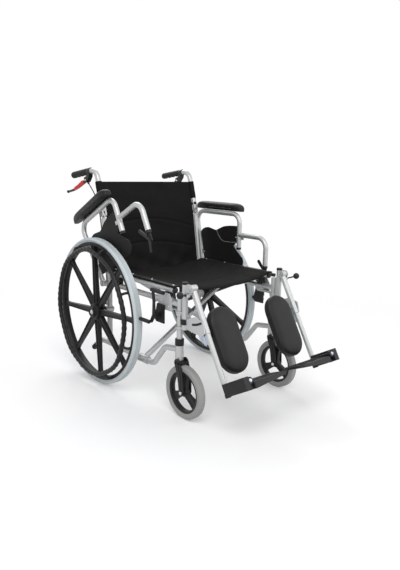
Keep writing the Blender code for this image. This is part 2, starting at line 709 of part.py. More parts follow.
def brake_cable(s, tag):
    """Outer cable from the lever down behind the cane to its stop near the axle."""
    stops = [CABLE_START, (-0.1130, 0.7845), (-0.0860, 0.7450), (-0.0690, 0.7020),
             (-0.0575, 0.6500), (-0.0420, 0.5600), (-0.0260, 0.4700), (-0.0190, 0.4000),
             (-0.0185, 0.3364)]
    stops = [Vector((p[0], s * FRAME_Y, p[1])) for p in stops]
    path = []
    for i in range(len(stops) - 1):
        p0 = stops[i - 1] if i else stops[0] * 2.0 - stops[1]
        p1 = stops[i]
        p2 = stops[i + 1]
        p3 = stops[i + 2] if i + 2 < len(stops) else Vector((p2.x, p2.y, p2.z * 2.0 - p1.z))
        for k in range(2):
            t = k / 2.0
            path.append(0.5 * ((2.0 * p1) + (p2 - p0) * t + (2.0 * p0 - 5.0 * p1 + 4.0 * p2 - p3) * t * t
                               + (3.0 * p1 - p0 - 3.0 * p2 + p3) * t ** 3))
    path.append(stops[-1])
    curve = bpy.data.curves.new("brake_cable_" + tag, "CURVE")
    curve.dimensions = "3D"
    curve.bevel_depth = 0.0022
    curve.bevel_resolution = 2
    curve.use_fill_caps = True
    spline = curve.splines.new("POLY")
    spline.points.add(len(path) - 1)
    for point, place in zip(spline.points, path):
        point.co = (place.x, place.y, place.z, 1.0)
    item = bpy.data.objects.new("brake_cable_" + tag, curve)
    bpy.context.collection.objects.link(item)
    curve.materials.append(paint("brake_cable_" + tag, BLACK))
    return item


def ball(centre, radius, segments=10, rings=7):
    bm = bmesh.new()
    bmesh.ops.create_uvsphere(bm, u_segments=segments, v_segments=rings, radius=radius,
                              matrix=Matrix.Translation(centre))
    return finish_mesh("ball", bm)


def armrest_frame(s, tag):
    y = s * ARM_Y
    hoop = rounded(xz([ARM_PIVOT, (-0.0545, 0.700), (0.2345, 0.700), (0.2345, 0.546)], y), 0.042)
    reach = rounded(xz([(0.2345, 0.611), (LATCH_PIVOT[0], 0.611), (LATCH_PIVOT[0], 0.484)], y), 0.045)
    tab = (s * (ARM_Y + 0.0029), s * (ARM_Y + 0.0062))
    solids = [
        sweep(hoop, ARM_R),
        sweep(reach, ARM_R),
        cross_pin(ARM_PIVOT, s * (ARM_Y - ARM_R - GAP), s * (ARM_Y + ARM_R + GAP), 0.0135, 12),
        box((LATCH_PIVOT[0] - 0.0085, LATCH_PIVOT[0] + 0.0085), (s * 0.2725, s * 0.2785),
            (LATCH_PIVOT[1] - 0.008, 0.492)),
        cross_pin(LATCH_PIVOT, s * 0.2755, s * 0.2858, 0.003),
        box((-0.024, 0.014), tab, (0.500, 0.520)),
        box((0.2345 - 0.024, 0.2345 + 0.024), tab, (0.590, 0.606)),
    ]
    cuts = [cross_pin(ARM_PIVOT, s * 0.255, s * 0.295, 0.004 + FIT)]
    return joined("armrest_frame_" + tag, solids, cuts, SILVER)


def arm_pad(s, tag):
    """A padded board with a crowned top, a round rear end and a sloping nose."""
    bm = bmesh.new()
    x0 = -0.062
    y = s * 0.2905
    base = 0.700 + ARM_R + GAP
    half = 0.0248
    length = 0.296
    tail = 0.026
    nose = 0.042
    rows = []
    stations = (0.0, 0.004, 0.012, 0.026, 0.080, 0.148, 0.210, 0.254, 0.272, 0.286, 0.294, length)
    for d in stations:
        end = min(d / tail, (length - d) / nose, 1.0)
        plan = math.sqrt(1.0 - (1.0 - end) ** 2)
        wide = half * (0.40 + 0.60 * plan)
        tall = 0.0335 * (0.45 + 0.55 * plan)
        ring = []
        for a, h in ((-0.93, 0.0), (-1.0, 0.22), (-1.0, 0.58), (-0.86, 0.84), (-0.50, 0.97),
                     (0.0, 1.0), (0.50, 0.97), (0.86, 0.84), (1.0, 0.58), (1.0, 0.22), (0.93, 0.0)):
            ring.append(bm.verts.new((x0 + d, y + a * wide, base + h * tall)))
        rows.append(ring)
    count = len(rows[0])
    for one, two in zip(rows, rows[1:]):
        for k in range(count):
            j = (k + 1) % count
            bm.faces.new((one[k], one[j], two[j], two[k]))
    bm.faces.new(rows[0])
    bm.faces.new(rows[-1])
    return joined("arm_pad_" + tag, [finish_mesh("pad", bm)], (), VINYL, 60.0)


def skirt_guard(s, tag):
    """A panel in the armrest's window: a round lower front corner and a waved top edge."""
    low = 0.4545
    corner = 0.036
    outline = [(0.012, low)]
    for k in range(9):
        angle = math.radians(-90.0 + 125.0 * k / 8.0)
        outline.append((0.2275 + corner * math.cos(angle), low + corner + corner * math.sin(angle)))
    outline += [(0.2050, 0.5530), (0.2085, 0.5650), (0.2225, 0.5760), (0.2225, 0.6490),
                (0.170, 0.646), (0.135, 0.640), (0.105, 0.628), (0.082, 0.619), (0.055, 0.623),
                (0.026, 0.627), (-0.005, 0.618), (-0.0195, 0.602)]
    return joined("skirt_guard_" + tag, [slab(outline, s * (ARM_Y - 0.0025), s * (ARM_Y + 0.0025))],
                  (), BLACK)


def armrest_latch(s, tag):
    line = [(0.352, 0.508), (0.376, 0.4815), LATCH_PIVOT, (0.3895, 0.438), (0.3838, 0.4165)]
    solids = [strap(line, [0.0075, 0.0062, 0.0078, 0.0052, 0.0045], s * 0.2792, s * 0.2838)]
    cuts = [cross_pin(LATCH_PIVOT, s * 0.27, s * 0.29, 0.003 + FIT)]
    return joined("armrest_latch_" + tag, solids, cuts, BLACK)


def wheel_lock_base(s, tag):
    plate = [(0.346, 0.345), (0.356, 0.335), (0.402, 0.335), (0.402, 0.405), (0.360, 0.405)]
    solids = [
        slab(plate, s * 0.2618, s * 0.2680),
        stepped_pin(LOCK_PIVOT, s, [(0.265, 0.0085), (0.288 - GAP, 0.0085), (0.288 - GAP, 0.004),
                                    (0.2960, 0.004)], 10),
    ]
    return joined("wheel_lock_base_" + tag, solids, (), BLACK)


def wheel_lock_lever(s, tag):
    shoe_y = s * 0.305
    line = [(0.3590, 0.3400), LOCK_PIVOT, (0.3730, 0.415), (0.3665, 0.4600)]
    solids = [
        strap(line, [0.0065, 0.0088, 0.0060, 0.0066], s * 0.2880, s * 0.2935),
        cross_pin((0.3590, 0.3400), s * 0.2900, shoe_y, 0.0060),
        along_x(WHEEL_R + 0.0010, 0.3650, shoe_y, 0.3400, 0.0075),
        along_x(0.3600, 0.4360, s * 0.2940, 0.4600, 0.0075),
    ]
    cuts = [cross_pin(LOCK_PIVOT, s * 0.285, s * 0.2985, 0.004 + FIT)]
    return joined("wheel_lock_lever_" + tag, solids, cuts, BLACK)


def legrest_hanger(s, tag):
    y = s * FRAME_Y
    side = (s * (FRAME_Y - 0.0008), s * (FRAME_Y + 0.0042))
    solids = [
        spindle((HANGER_X, y, 0.0), (0.0, 0.0, 1.0),
                [(0.332, TUBE_R), (0.352, TUBE_R), (0.352, 0.0145), (0.372, 0.0145),
                 (0.372, TUBE_R), (0.4965, TUBE_R), (0.4965, 0.0119), (0.5050, 0.0119)]),
        slab([(0.499, 0.445), (0.515, 0.452), (0.541, 0.474), (0.5435, 0.488), (0.536, 0.4995),
              (0.499, 0.4990)], *side),
        slab([(0.499, 0.340), (0.553, 0.333), (0.596, 0.330), (0.611, 0.345), (0.600, 0.382),
              (0.560, 0.392), (0.535, 0.384), (0.499, 0.366)], *side),
        cross_pin(KNEE, s * 0.2222, s * 0.2500, 0.004),
        box((0.5115, 0.5145), (s * 0.2505, s * 0.2660), (0.4565, 0.4675)),
        box((0.5275, 0.5305), (s * 0.2505, s * 0.2660), (0.4565, 0.4675)),
        along_x(0.5125, 0.5295, s * 0.2610, 0.4620, 0.0020, 8),
    ]
    cuts = []
    for z0 in (0.3335, 0.3900):
        solids.append(upright(FRONT_X, y, z0, z0 + 0.006, 0.0170, 12))
        solids.append(box((FRONT_X, HANGER_X), (y - 0.0085, y + 0.0085), (z0, z0 + 0.006)))
        cuts.append(upright(FRONT_X, y, z0 - 0.002, z0 + 0.008, TUBE_R + FIT, 12))
    slot = [(KNEE[0] + 0.126 * math.sin(math.radians(a)), KNEE[1] - 0.126 * math.cos(math.radians(a)))
            for a in (8.0, 15.0, 22.0, 29.0)]
    cuts.append(strap(slot, [0.0042] * 4, s * 0.24, s * 0.26))
    return joined("legrest_hanger_" + tag, solids, cuts, SILVER)


def release_lever(s, tag):
    root = (0.520, s * 0.2610, 0.4620)
    knob = (0.541, s * 0.305, 0.472)
    solids = [
        along_x(0.5150, 0.5270, root[1], root[2], 0.0050),
        sweep([root, knob], 0.0030, 8),
        ball(knob, 0.0125),
    ]
    cuts = [along_x(0.50, 0.54, root[1], root[2], 0.0020 + FIT, 8)]
    return joined("release_lever_" + tag, solids, cuts, BLACK)


def leg(a, t):
    """A point of the leg's own side view, placed before the leg is tilted about the knee."""
    return (KNEE[0] + a, KNEE[1] - t)


def leg_box(a, y, t):
    return box((KNEE[0] + a[0], KNEE[0] + a[1]), y, (KNEE[1] - t[1], KNEE[1] - t[0]))


def down_leg(a, y, t0, t1, radius, sides=12):
    return upright(KNEE[0] + a, y, KNEE[1] - t1, KNEE[1] - t0, radius, sides)


def leg_tube(s, tag):
    solids = [
        down_leg(LEG_A, s * LEG_Y, -0.004, 0.1650, TUBE_R),
        cross_pin(KNEE, s * (LEG_Y - TUBE_R), s * (LEG_Y + TUBE_R), 0.0115),
    ]
    cuts = [cross_pin(KNEE, s * 0.21, s * 0.26, 0.004 + FIT)]
    return joined("leg_tube_" + tag, solids, cuts, SILVER)


def leg_slide(s, tag):
    """Clamp channel, lower tube, footplate block and end plug."""
    y = s * LEG_Y
    hinge = s * PLATE_HINGE_Y
    plug = (PLATE_T + 0.020, PLATE_T + 0.033)
    sector = [(-0.0180, 0.128), (-0.020, 0.126), (-0.043, 0.150), (-0.043, 0.178), (-0.020, 0.204),
              (-0.0180, 0.204)]
    solids = [
        spindle((KNEE[0] + LEG_A, y, KNEE[1]), (0.0, 0.0, -1.0),
                [(0.1656, 0.0095), (plug[0], 0.0095), (plug[0], 0.0108), (plug[1], 0.0108)]),
        leg_box((-0.0265, -0.0177), (s * 0.2320, s * 0.2465), (0.125, 0.200)),
        leg_box((-0.0265, -0.0050), (s * 0.2300, s * 0.2430), (0.1680, 0.200)),
        slab([leg(a, t) for a, t in sector], s * 0.2425, s * 0.2460),
        leg_box((-0.0060, 0.10645), (s * 0.2255, s * 0.2475), (PLATE_T - 0.015, PLATE_T + 0.030)),
        along_x(KNEE[0] - 0.002, KNEE[0] + 0.1045, hinge, KNEE[1] - PLATE_T, 0.0025, 8),
    ]
    for a, radius in ((-0.0020, 0.0066), (0.0945, 0.0125)):
        solids.append(along_x(KNEE[0] + a, KNEE[0] + a + 0.010, hinge, KNEE[1] - PLATE_T, radius))
        solids.append(leg_box((a, a + 0.010), (hinge, s * 0.2265), (PLATE_T - 0.0060, PLATE_T + 0.0060)))
    for t in (0.139, 0.1705):
        solids.append(leg_box((-0.0240, -0.0178), (s * 0.2140, s * 0.2340), (t, t + 0.006)))
        solids.append(leg_box((-0.0225, -0.0155), (s * 0.2142, s * 0.2225), (t + 0.0002, t + 0.0058)))
    solids.append(down_leg(CALF_PIVOT[0], s * CALF_PIVOT[1], 0.1395, 0.1760, 0.0025, 8))
    return joined("leg_slide_" + tag, solids, (), ZINC)


def footplate(s, tag):
    """A plate that slopes down to the toe and grows thicker towards its hinge."""
    hinge = s * PLATE_HINGE_Y
    z = KNEE[1] - PLATE_T
    heel, toe = PLATE_A
    inner = 0.035
    notch = (toe - 0.0115, 0.2050)    # room for the hinge's big front knuckle
    bm = bmesh.new()
    outline = []
    corners = ((heel, PLATE_HINGE_Y, 0.0), (notch[0], PLATE_HINGE_Y, 0.0), (notch[0], notch[1], 0.0),
               (toe, notch[1], 0.008), (toe, inner, 0.028), (heel, inner, 0.022))
    count = len(corners)
    for i, (a, y, r) in enumerate(corners):
        here = Vector((a, y))
        if not r:
            outline.append(here)
            continue
        back_way = (Vector(corners[i - 1][:2]) - here).normalized()
        next_way = (Vector(corners[(i + 1) % count][:2]) - here).normalized()
        for k in range(5):
            f = k / 4.0
            one = here + back_way * r * (1.0 - f)
            two = here + next_way * r * f
            outline.append(one.lerp(two, f))
    lower = []
    upper = []
    for p in outline:
        top = z + 0.005 - PLATE_SLOPE * (p.x - heel)
        deep = 0.010 + 0.016 * (p.y - inner) / (PLATE_HINGE_Y - inner)
        upper.append(bm.verts.new((KNEE[0] + p.x, s * p.y, top)))
        lower.append(bm.verts.new((KNEE[0] + p.x, s * p.y, top - deep)))
    bm.faces.new(lower)
    bm.faces.new(upper)
    for i in range(len(outline)):
        j = (i + 1) % len(outline)
        bm.faces.new((lower[i], lower[j], upper[j], upper[i]))
    plate = finish_mesh("plate", bm)
    barrel = along_x(KNEE[0] + heel - 0.0015, KNEE[0] + notch[0] + 0.0005, hinge, z, 0.0064)
    cuts = [along_x(KNEE[0] - 0.02, KNEE[0] + 0.13, hinge, z, 0.0025 + FIT, 8)]
    return joined("footplate_" + tag, [plate, barrel], cuts, BLACK)


def calf_arm(s, tag):
    a, y = CALF_PIVOT
    solids = [
        down_leg(a, s * y, 0.1455, 0.1700, 0.0050),
        leg_box((-0.0315, a), (s * 0.2124, s * 0.2170), (0.1460, 0.1695)),
        leg_box((-0.0315, -0.0280), (s * 0.1900, s * 0.2160), (0.1462, 0.1693)),
        leg_box((-0.0317, -0.0280), (s * 0.1300, s * 0.1920), (0.1380, 0.1780)),
    ]
    cuts = [down_leg(a, s * y, 0.13, 0.19, 0.0025 + FIT, 8)]
    return joined("calf_arm_" + tag, solids, cuts, ZINC)


def calf_pad(s, tag):
    """A long cushion with round ends, crowned in front and flat behind."""
    bm = bmesh.new()
    mid_y = s * 0.1487
    long_half = 0.1225
    wide_half = 0.0625
    straight = long_half - wide_half
    rows = []
    levels = ((-0.0276, 0.0060), (-0.0262, 0.0018), (-0.0215, 0.0), (-0.0090, 0.0), (-0.0010, 0.0022),
              (0.0035, 0.0075), (0.0058, 0.0160), (0.0075, 0.0340))
    for a, inset in levels:
        ring = []
        for k in range(20):
            angle = 2.0 * math.pi * (k + 0.5) / 20
            r = wide_half - inset
            dy = r * math.cos(angle)
            dz = r * math.sin(angle) + math.copysign(straight, math.sin(angle))
            ring.append(bm.verts.new((KNEE[0] + a, mid_y + dy, KNEE[1] - PAD_T + dz)))
        rows.append(ring)
    for one, two in zip(rows, rows[1:]):
        for k in range(20):
            j = (k + 1) % 20
            bm.faces.new((one[k], one[j], two[j], two[k]))
    bm.faces.new(rows[0])
    bm.faces.new(rows[-1])
    return joined("calf_pad_" + tag, [finish_mesh("pad", bm)], (), VINYL, 60.0)


def build_side(s, frame):
    """Everything that rides on one side frame."""
    tag = "right" if s < 0 else "left"
    frame.carry(side_frame(s, tag), rear_axle(s, tag), wheel_lock_base(s, tag))
    wheel = Body("spin_rear_" + tag, (0.0, s * WHEEL_Y, WHEEL_R), frame)
    wheel.carry(rear_tyre(s, tag), rear_wheel(s, tag), handrim(s, tag))
    swivel = Body("swivel_" + tag, (FRONT_X, s * FRAME_Y, HOUSING_Z), frame)
    swivel.carry(caster_fork(s, tag))
    roll = Body("spin_caster_" + tag, (FRONT_X + CASTER_TRAIL, s * FRAME_Y, CASTER_R), swivel)
    roll.carry(caster_tyre(s, tag), caster_wheel(s, tag))
    fold = Body("back_fold_" + tag, (HINGE[0], s * FRAME_Y, HINGE[1]), frame)
    fold.carry(upper_cane(s, tag), grip(s, tag), brake_bracket(s, tag), brake_cable(s, tag))
    brake = Body("brake_" + tag, (LEVER_PIVOT[0], s * FRAME_Y, LEVER_PIVOT[1]), fold)
    brake.carry(brake_lever(s, tag))
    park = Body("park_" + tag, (PARK_PIVOT[0], s * FRAME_Y, PARK_PIVOT[1]), brake)
    park.carry(parking_lock(s, tag))
    arm = Body("arm_lift_" + tag, (ARM_PIVOT[0], s * ARM_Y, ARM_PIVOT[1]), frame,
               -math.radians(ARM_RAISED[s]))
    arm.carry(armrest_frame(s, tag), arm_pad(s, tag), skirt_guard(s, tag))
    latch = Body("arm_latch_" + tag, (LATCH_PIVOT[0], s * ARM_Y, LATCH_PIVOT[1]), arm)
    latch.carry(armrest_latch(s, tag))
    lock = Body("wheel_lock_" + tag, (LOCK_PIVOT[0], s * 0.29, LOCK_PIVOT[1]), frame)
    lock.carry(wheel_lock_lever(s, tag))
    swing = Body("leg_swing_" + tag, (FRONT_X, s * FRAME_Y, 0.360), frame)
    swing.carry(legrest_hanger(s, tag))
    release = Body("release_" + tag, (0.520, s * 0.2610, 0.4620), swing)
    release.carry(release_lever(s, tag))
    raise_leg = Body("leg_raise_" + tag, (KNEE[0], s * LEG_Y, KNEE[1]), swing,
                     -math.radians(LEG_TILT))
    raise_leg.carry(leg_tube(s, tag), leg_slide(s, tag))
    foot = Body("foot_flip_" + tag, (KNEE[0] + 0.06, s * PLATE_HINGE_Y, KNEE[1] - PLATE_T), raise_leg)
    foot.carry(footplate(s, tag))
    calf = Body("calf_swing_" + tag, (KNEE[0] + CALF_PIVOT[0], s * CALF_PIVOT[1], KNEE[1] - CALF_T),
                raise_leg)
    calf.carry(calf_arm(s, tag), calf_pad(s, tag))


def centre_on_origin(root):
    """Slide the chair along X so that its bounding box is centred, and stand it on the floor."""
    bpy.context.view_layer.update()
    low = Vector((9.0, 9.0, 9.0))
    high = Vector((-9.0, -9.0, -9.0))
    for item in bpy.data.objects:
        if item.type == "MESH":
            for vertex in item.data.vertices:
                place = item.matrix_world @ vertex.co
                low = Vector(map(min, low, place))
                high = Vector(map(max, high, place))
    root.empty.location.x = -round((low.x + high.x) / 2.0, 6)
    print("box before the slide", tuple(round(v, 5) for v in low), tuple(round(v, 5) for v in high))
    print("slide along X", round(root.empty.location.x, 6))


def main():
    clear_scene()
    root = Body("wheelchair")
    right = Body("frame_right", (0.0, 0.0, 0.0), root)
    middle = (RAIL_Z + SEAT_Z) / 2.0
    arm_a = Body("cross_fold", (ARM_X[-1], -FRAME_Y, RAIL_Z), right)
    arm_a.carry(cross_arm(-1, "cross_arm_a"))
    arm_b = Body("cross_centre", (ARM_X[1], 0.0, middle), arm_a)
    arm_b.carry(cross_arm(1, "cross_arm_b"))
    left = Body("frame_left", (ARM_X[1], FRAME_Y, RAIL_Z), arm_b)
    root.carry(seat(), back())
    build_side(-1, right)
    build_side(1, left)
    centre_on_origin(root)


main()
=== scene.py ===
"""Folding wheelchair: the looks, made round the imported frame.

Lengths are metres. A piece is written as on the left side, with X measured forward from the rear
axle, Y outward and Z up from the floor. It is mirrored for the right side and slid to the frame.
"""

import json
from math import atan2, ceil, cos, exp, hypot, pi, radians, sin, sqrt, tan

import bmesh
import bpy
from mathutils import Matrix, Quaternion, Vector


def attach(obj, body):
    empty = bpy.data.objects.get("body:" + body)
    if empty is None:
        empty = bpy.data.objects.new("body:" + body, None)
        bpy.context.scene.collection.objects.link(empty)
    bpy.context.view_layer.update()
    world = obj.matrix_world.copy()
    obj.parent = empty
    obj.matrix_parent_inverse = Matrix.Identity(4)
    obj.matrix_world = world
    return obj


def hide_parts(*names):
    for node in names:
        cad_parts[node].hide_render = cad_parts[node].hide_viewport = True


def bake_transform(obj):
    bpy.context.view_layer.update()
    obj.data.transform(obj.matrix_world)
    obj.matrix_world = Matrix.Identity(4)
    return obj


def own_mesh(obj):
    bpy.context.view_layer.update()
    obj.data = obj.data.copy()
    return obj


bl_info = {
    "name": "Folding wheelchair looks",
    "version": (1, 0, 0),
    "blender": (4, 5, 0),
    "location": "View3D > Sidebar > Wheelchair",
    "description": "Tubes, wheels, slings, pads and fittings of a folding wheelchair",
    "category": "Add Mesh",
}

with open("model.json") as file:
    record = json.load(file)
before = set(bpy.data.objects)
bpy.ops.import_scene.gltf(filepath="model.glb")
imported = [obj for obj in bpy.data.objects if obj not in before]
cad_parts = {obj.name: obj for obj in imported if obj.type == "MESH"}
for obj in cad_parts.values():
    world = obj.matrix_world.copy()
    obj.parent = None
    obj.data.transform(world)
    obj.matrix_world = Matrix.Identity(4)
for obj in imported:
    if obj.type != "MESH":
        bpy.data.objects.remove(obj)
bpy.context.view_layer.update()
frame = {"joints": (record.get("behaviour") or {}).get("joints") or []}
JOINTS = {j["name"]: Vector(j["pos_m"]) for j in frame["joints"]}
AXLE_X = JOINTS["wheel_spin_right"].x
SLIDE = Matrix.Translation((AXLE_X, 0.0, 0.0))
STILL = Matrix.Identity(4)
AHEAD = Vector((1.0, 0.0, 0.0))
OUT = Vector((0.0, 1.0, 0.0))
UP = Vector((0.0, 0.0, 1.0))


def joint(name):
    """A joint's place in the side view."""
    return JOINTS[name].x - AXLE_X, JOINTS[name].z


def beside(name):
    """How far a joint is from the chair's middle."""
    return abs(JOINTS[name].y)


WHEEL = joint("wheel_spin_right")
WHEEL_R = WHEEL[1]
WHEEL_Y = beside("wheel_spin_right")
TYRE_DEPTH = 0.017
RIM_HALF = 0.0145
RIM_INNER = 0.2725
HANDRIM_R = 0.2575
HANDRIM_Y = 0.345
SPOKES = 8
SPOKE_PHASE = {-1: 4.0, 1: 22.5}
FRAME_Y = beside("back_fold_right")
RAIL_Z = JOINTS["cross_fold"].z
SIDE_Z = 0.418
SEAT_Z = 2.0 * JOINTS["cross_centre"].z - RAIL_Z
FRONT_X, HOUSING_Z = joint("caster_swivel_right")
GUSSET_Y = 0.2612
HINGE = joint("back_fold_right")
POST_FOOT = (0.003, 0.455)
CANE_BEND = (-0.0885, 0.881)
CANE_END = (-0.2785, 0.854)
CASTER = joint("caster_spin_right")
CASTER_R = CASTER[1]
CASTER_HALF = 0.014
ARM_Y = beside("arm_lift_right")
ARM_R = 0.0105
ARM_TOP = 0.7
ARM_FRONT = 0.2345
ARM_PIVOT = (0.0, JOINTS["arm_lift_right"].z)
ARM_RAISED = {-1: 27.6, 1: 0.0}
LATCH = joint("arm_latch_left")
LOCK = joint("wheel_lock_right")
KNEE = joint("leg_raise_right")
LEG_TILT = 30.0
LEG_Y = beside("leg_raise_right")
PLATE_T = 0.358
PLATE_HINGE_Y = beside("foot_flip_right")
PLATE_HEEL, PLATE_TOE = 0.01, 0.105
PAD_T = 0.201
PAD_SWELL = 0.0022
LEVER = joint("brake_squeeze_right")
PARK = joint("park_lock_right")
CABLE_START = (-0.1545, 0.8215)
SLING_TOP = 0.832
SLING_HEM = 0.455


def distance(label, note, default, low, high):
    return bpy.props.FloatProperty(name=label, description=note, default=default, min=low, max=high,
                                   subtype="DISTANCE", unit="LENGTH")


def number(label, note, default, low, high):
    return bpy.props.IntProperty(name=label, description=note, default=default, min=low, max=high)


def paint(label, note, *default):
    return bpy.props.FloatVectorProperty(name=label, description=note, subtype="COLOR", default=default,
                                         min=0.0, max=1.0)


class WheelchairSizes(bpy.types.PropertyGroup):
    """Sizes a user would change"""

    tube_radius: distance("Frame tube radius", "Outer radius of the frame tubes", 0.011, 0.008, 0.014)
    tube_sides: number("Tube sides", "Facets round a tube", 24, 12, 48)
    edge_round: distance("Edge rounding", "Rounding of cut and moulded edges", 0.0006, 0.0001, 0.002)
    seam_depth: distance("Seam depth", "How far a sewn seam draws the cloth in", 0.0036, 0.0, 0.006)
    plate_ribs: number("Footplate ribs", "Grip ribs on each footplate", 13, 4, 24)


class WheelchairColours(bpy.types.PropertyGroup):
    """Colours a user would change"""

    silver: paint("Frame paint", "Powder coat on the tubes", 0.52, 0.53, 0.53)
    tyre: paint("Rear tyre", "Rubber of the rear tyres", 0.60, 0.65, 0.67)
    caster: paint("Caster tyre", "Rubber of the casters", 0.33, 0.33, 0.32)
    cloth: paint("Sling cloth", "Nylon of the seat and back", 0.0122, 0.0119, 0.0116)
    vinyl: paint("Pad vinyl", "Cover of the arm and calf pads", 0.0105, 0.0100, 0.0100)


def sizes():
    return bpy.context.scene.wheelchair_sizes


def shares(count):
    """Evenly spaced shares from 0 to 1."""
    return [k / count for k in range(count + 1)]


def circle(count):
    """Cosine and sine of evenly spaced angles."""
    return [(cos(2.0 * pi * k / count), sin(2.0 * pi * k / count)) for k in range(count)]


def rounded(points, bend, steps=8):
    """The path with each corner turned into an arc."""
    points = [Vector(p) for p in points]
    path = [points[0]]
    for before, corner, after in zip(points, points[1:], points[2:]):
        back = (before - corner).normalized()
        ahead = (after - corner).normalized()
        half = back.angle(ahead) / 2.0
        turn = pi - 2.0 * half
        if turn < 0.03:
            path.append(corner)
            continue
        reach = bend / tan(half)
        centre = corner + (back + ahead).normalized() * bend / sin(half)
        start = corner + back * reach - centre
        axis = start.cross(corner + ahead * reach - centre).normalized()
        count = max(4, ceil(turn / (pi / 2.0) * steps))
        path += [centre + Quaternion(axis, turn * f) @ start for f in shares(count)]
    path.append(points[-1])
    return path


def flowing(stops, steps=6):
    """A smooth curve through the stops."""
    stops = [Vector(p) for p in stops]
    stops = [stops[0] * 2.0 - stops[1], *stops, stops[-1] * 2.0 - stops[-2]]
    path = []
    for p0, p1, p2, p3 in zip(stops, stops[1:], stops[2:], stops[3:]):
        for t in shares(steps)[:-1]:
            path.append(0.5 * (2.0 * p1 + (p2 - p0) * t + (2.0 * p0 - 5.0 * p1 + 4.0 * p2 - p3) * t * t
                               + (3.0 * p1 - p0 - 3.0 * p2 + p3) * t ** 3))
    path.append(stops[-2])
    return path


def at(point, y=0.0):
    """A side view point as a place at some distance from the middle."""
    return Vector((point[0], y, point[1]))


def xz(points, y):
    return [at(p, y) for p in points]


def unit(x, z):
    return Vector((x, z)).normalized()


def on_line(start, way, length):
    return (start[0] + way[0] * length, start[1] + way[1] * length)


def at_x(start, way, x):
    return on_line(start, way, (x - start[0]) / way[0])


LOWER_CANE = unit(HINGE[0] - POST_FOOT[0], HINGE[1] - POST_FOOT[1])
UPPER_CANE = unit(CANE_BEND[0] - HINGE[0], CANE_BEND[1] - HINGE[1])
GRIP_WAY = unit(CANE_END[0] - CANE_BEND[0], CANE_END[1] - CANE_BEND[1])


def barrel(start, end, radius, cut=0.001, drop=None):
    """The (distance, radius) steps of a bar with both ends chamfered."""
    low = radius - (cut if drop is None else drop)
    return [(start, low), (start + cut, radius), (end - cut, radius), (end, low)]


def both_ends(steps, length):
    return steps + [(length - d, r) for d, r in reversed(steps)]


def turned_about(point, degrees):
    """The slide to the frame, after a turn in the side view about a point."""
    turn = Matrix.Rotation(-radians(degrees), 4, "Y")
    return SLIDE @ Matrix.Translation(at(point)) @ turn @ Matrix.Translation(-at(point))


def linked(name, data):
    item = bpy.data.objects.new(name, data)
    bpy.context.scene.collection.objects.link(item)
    return item


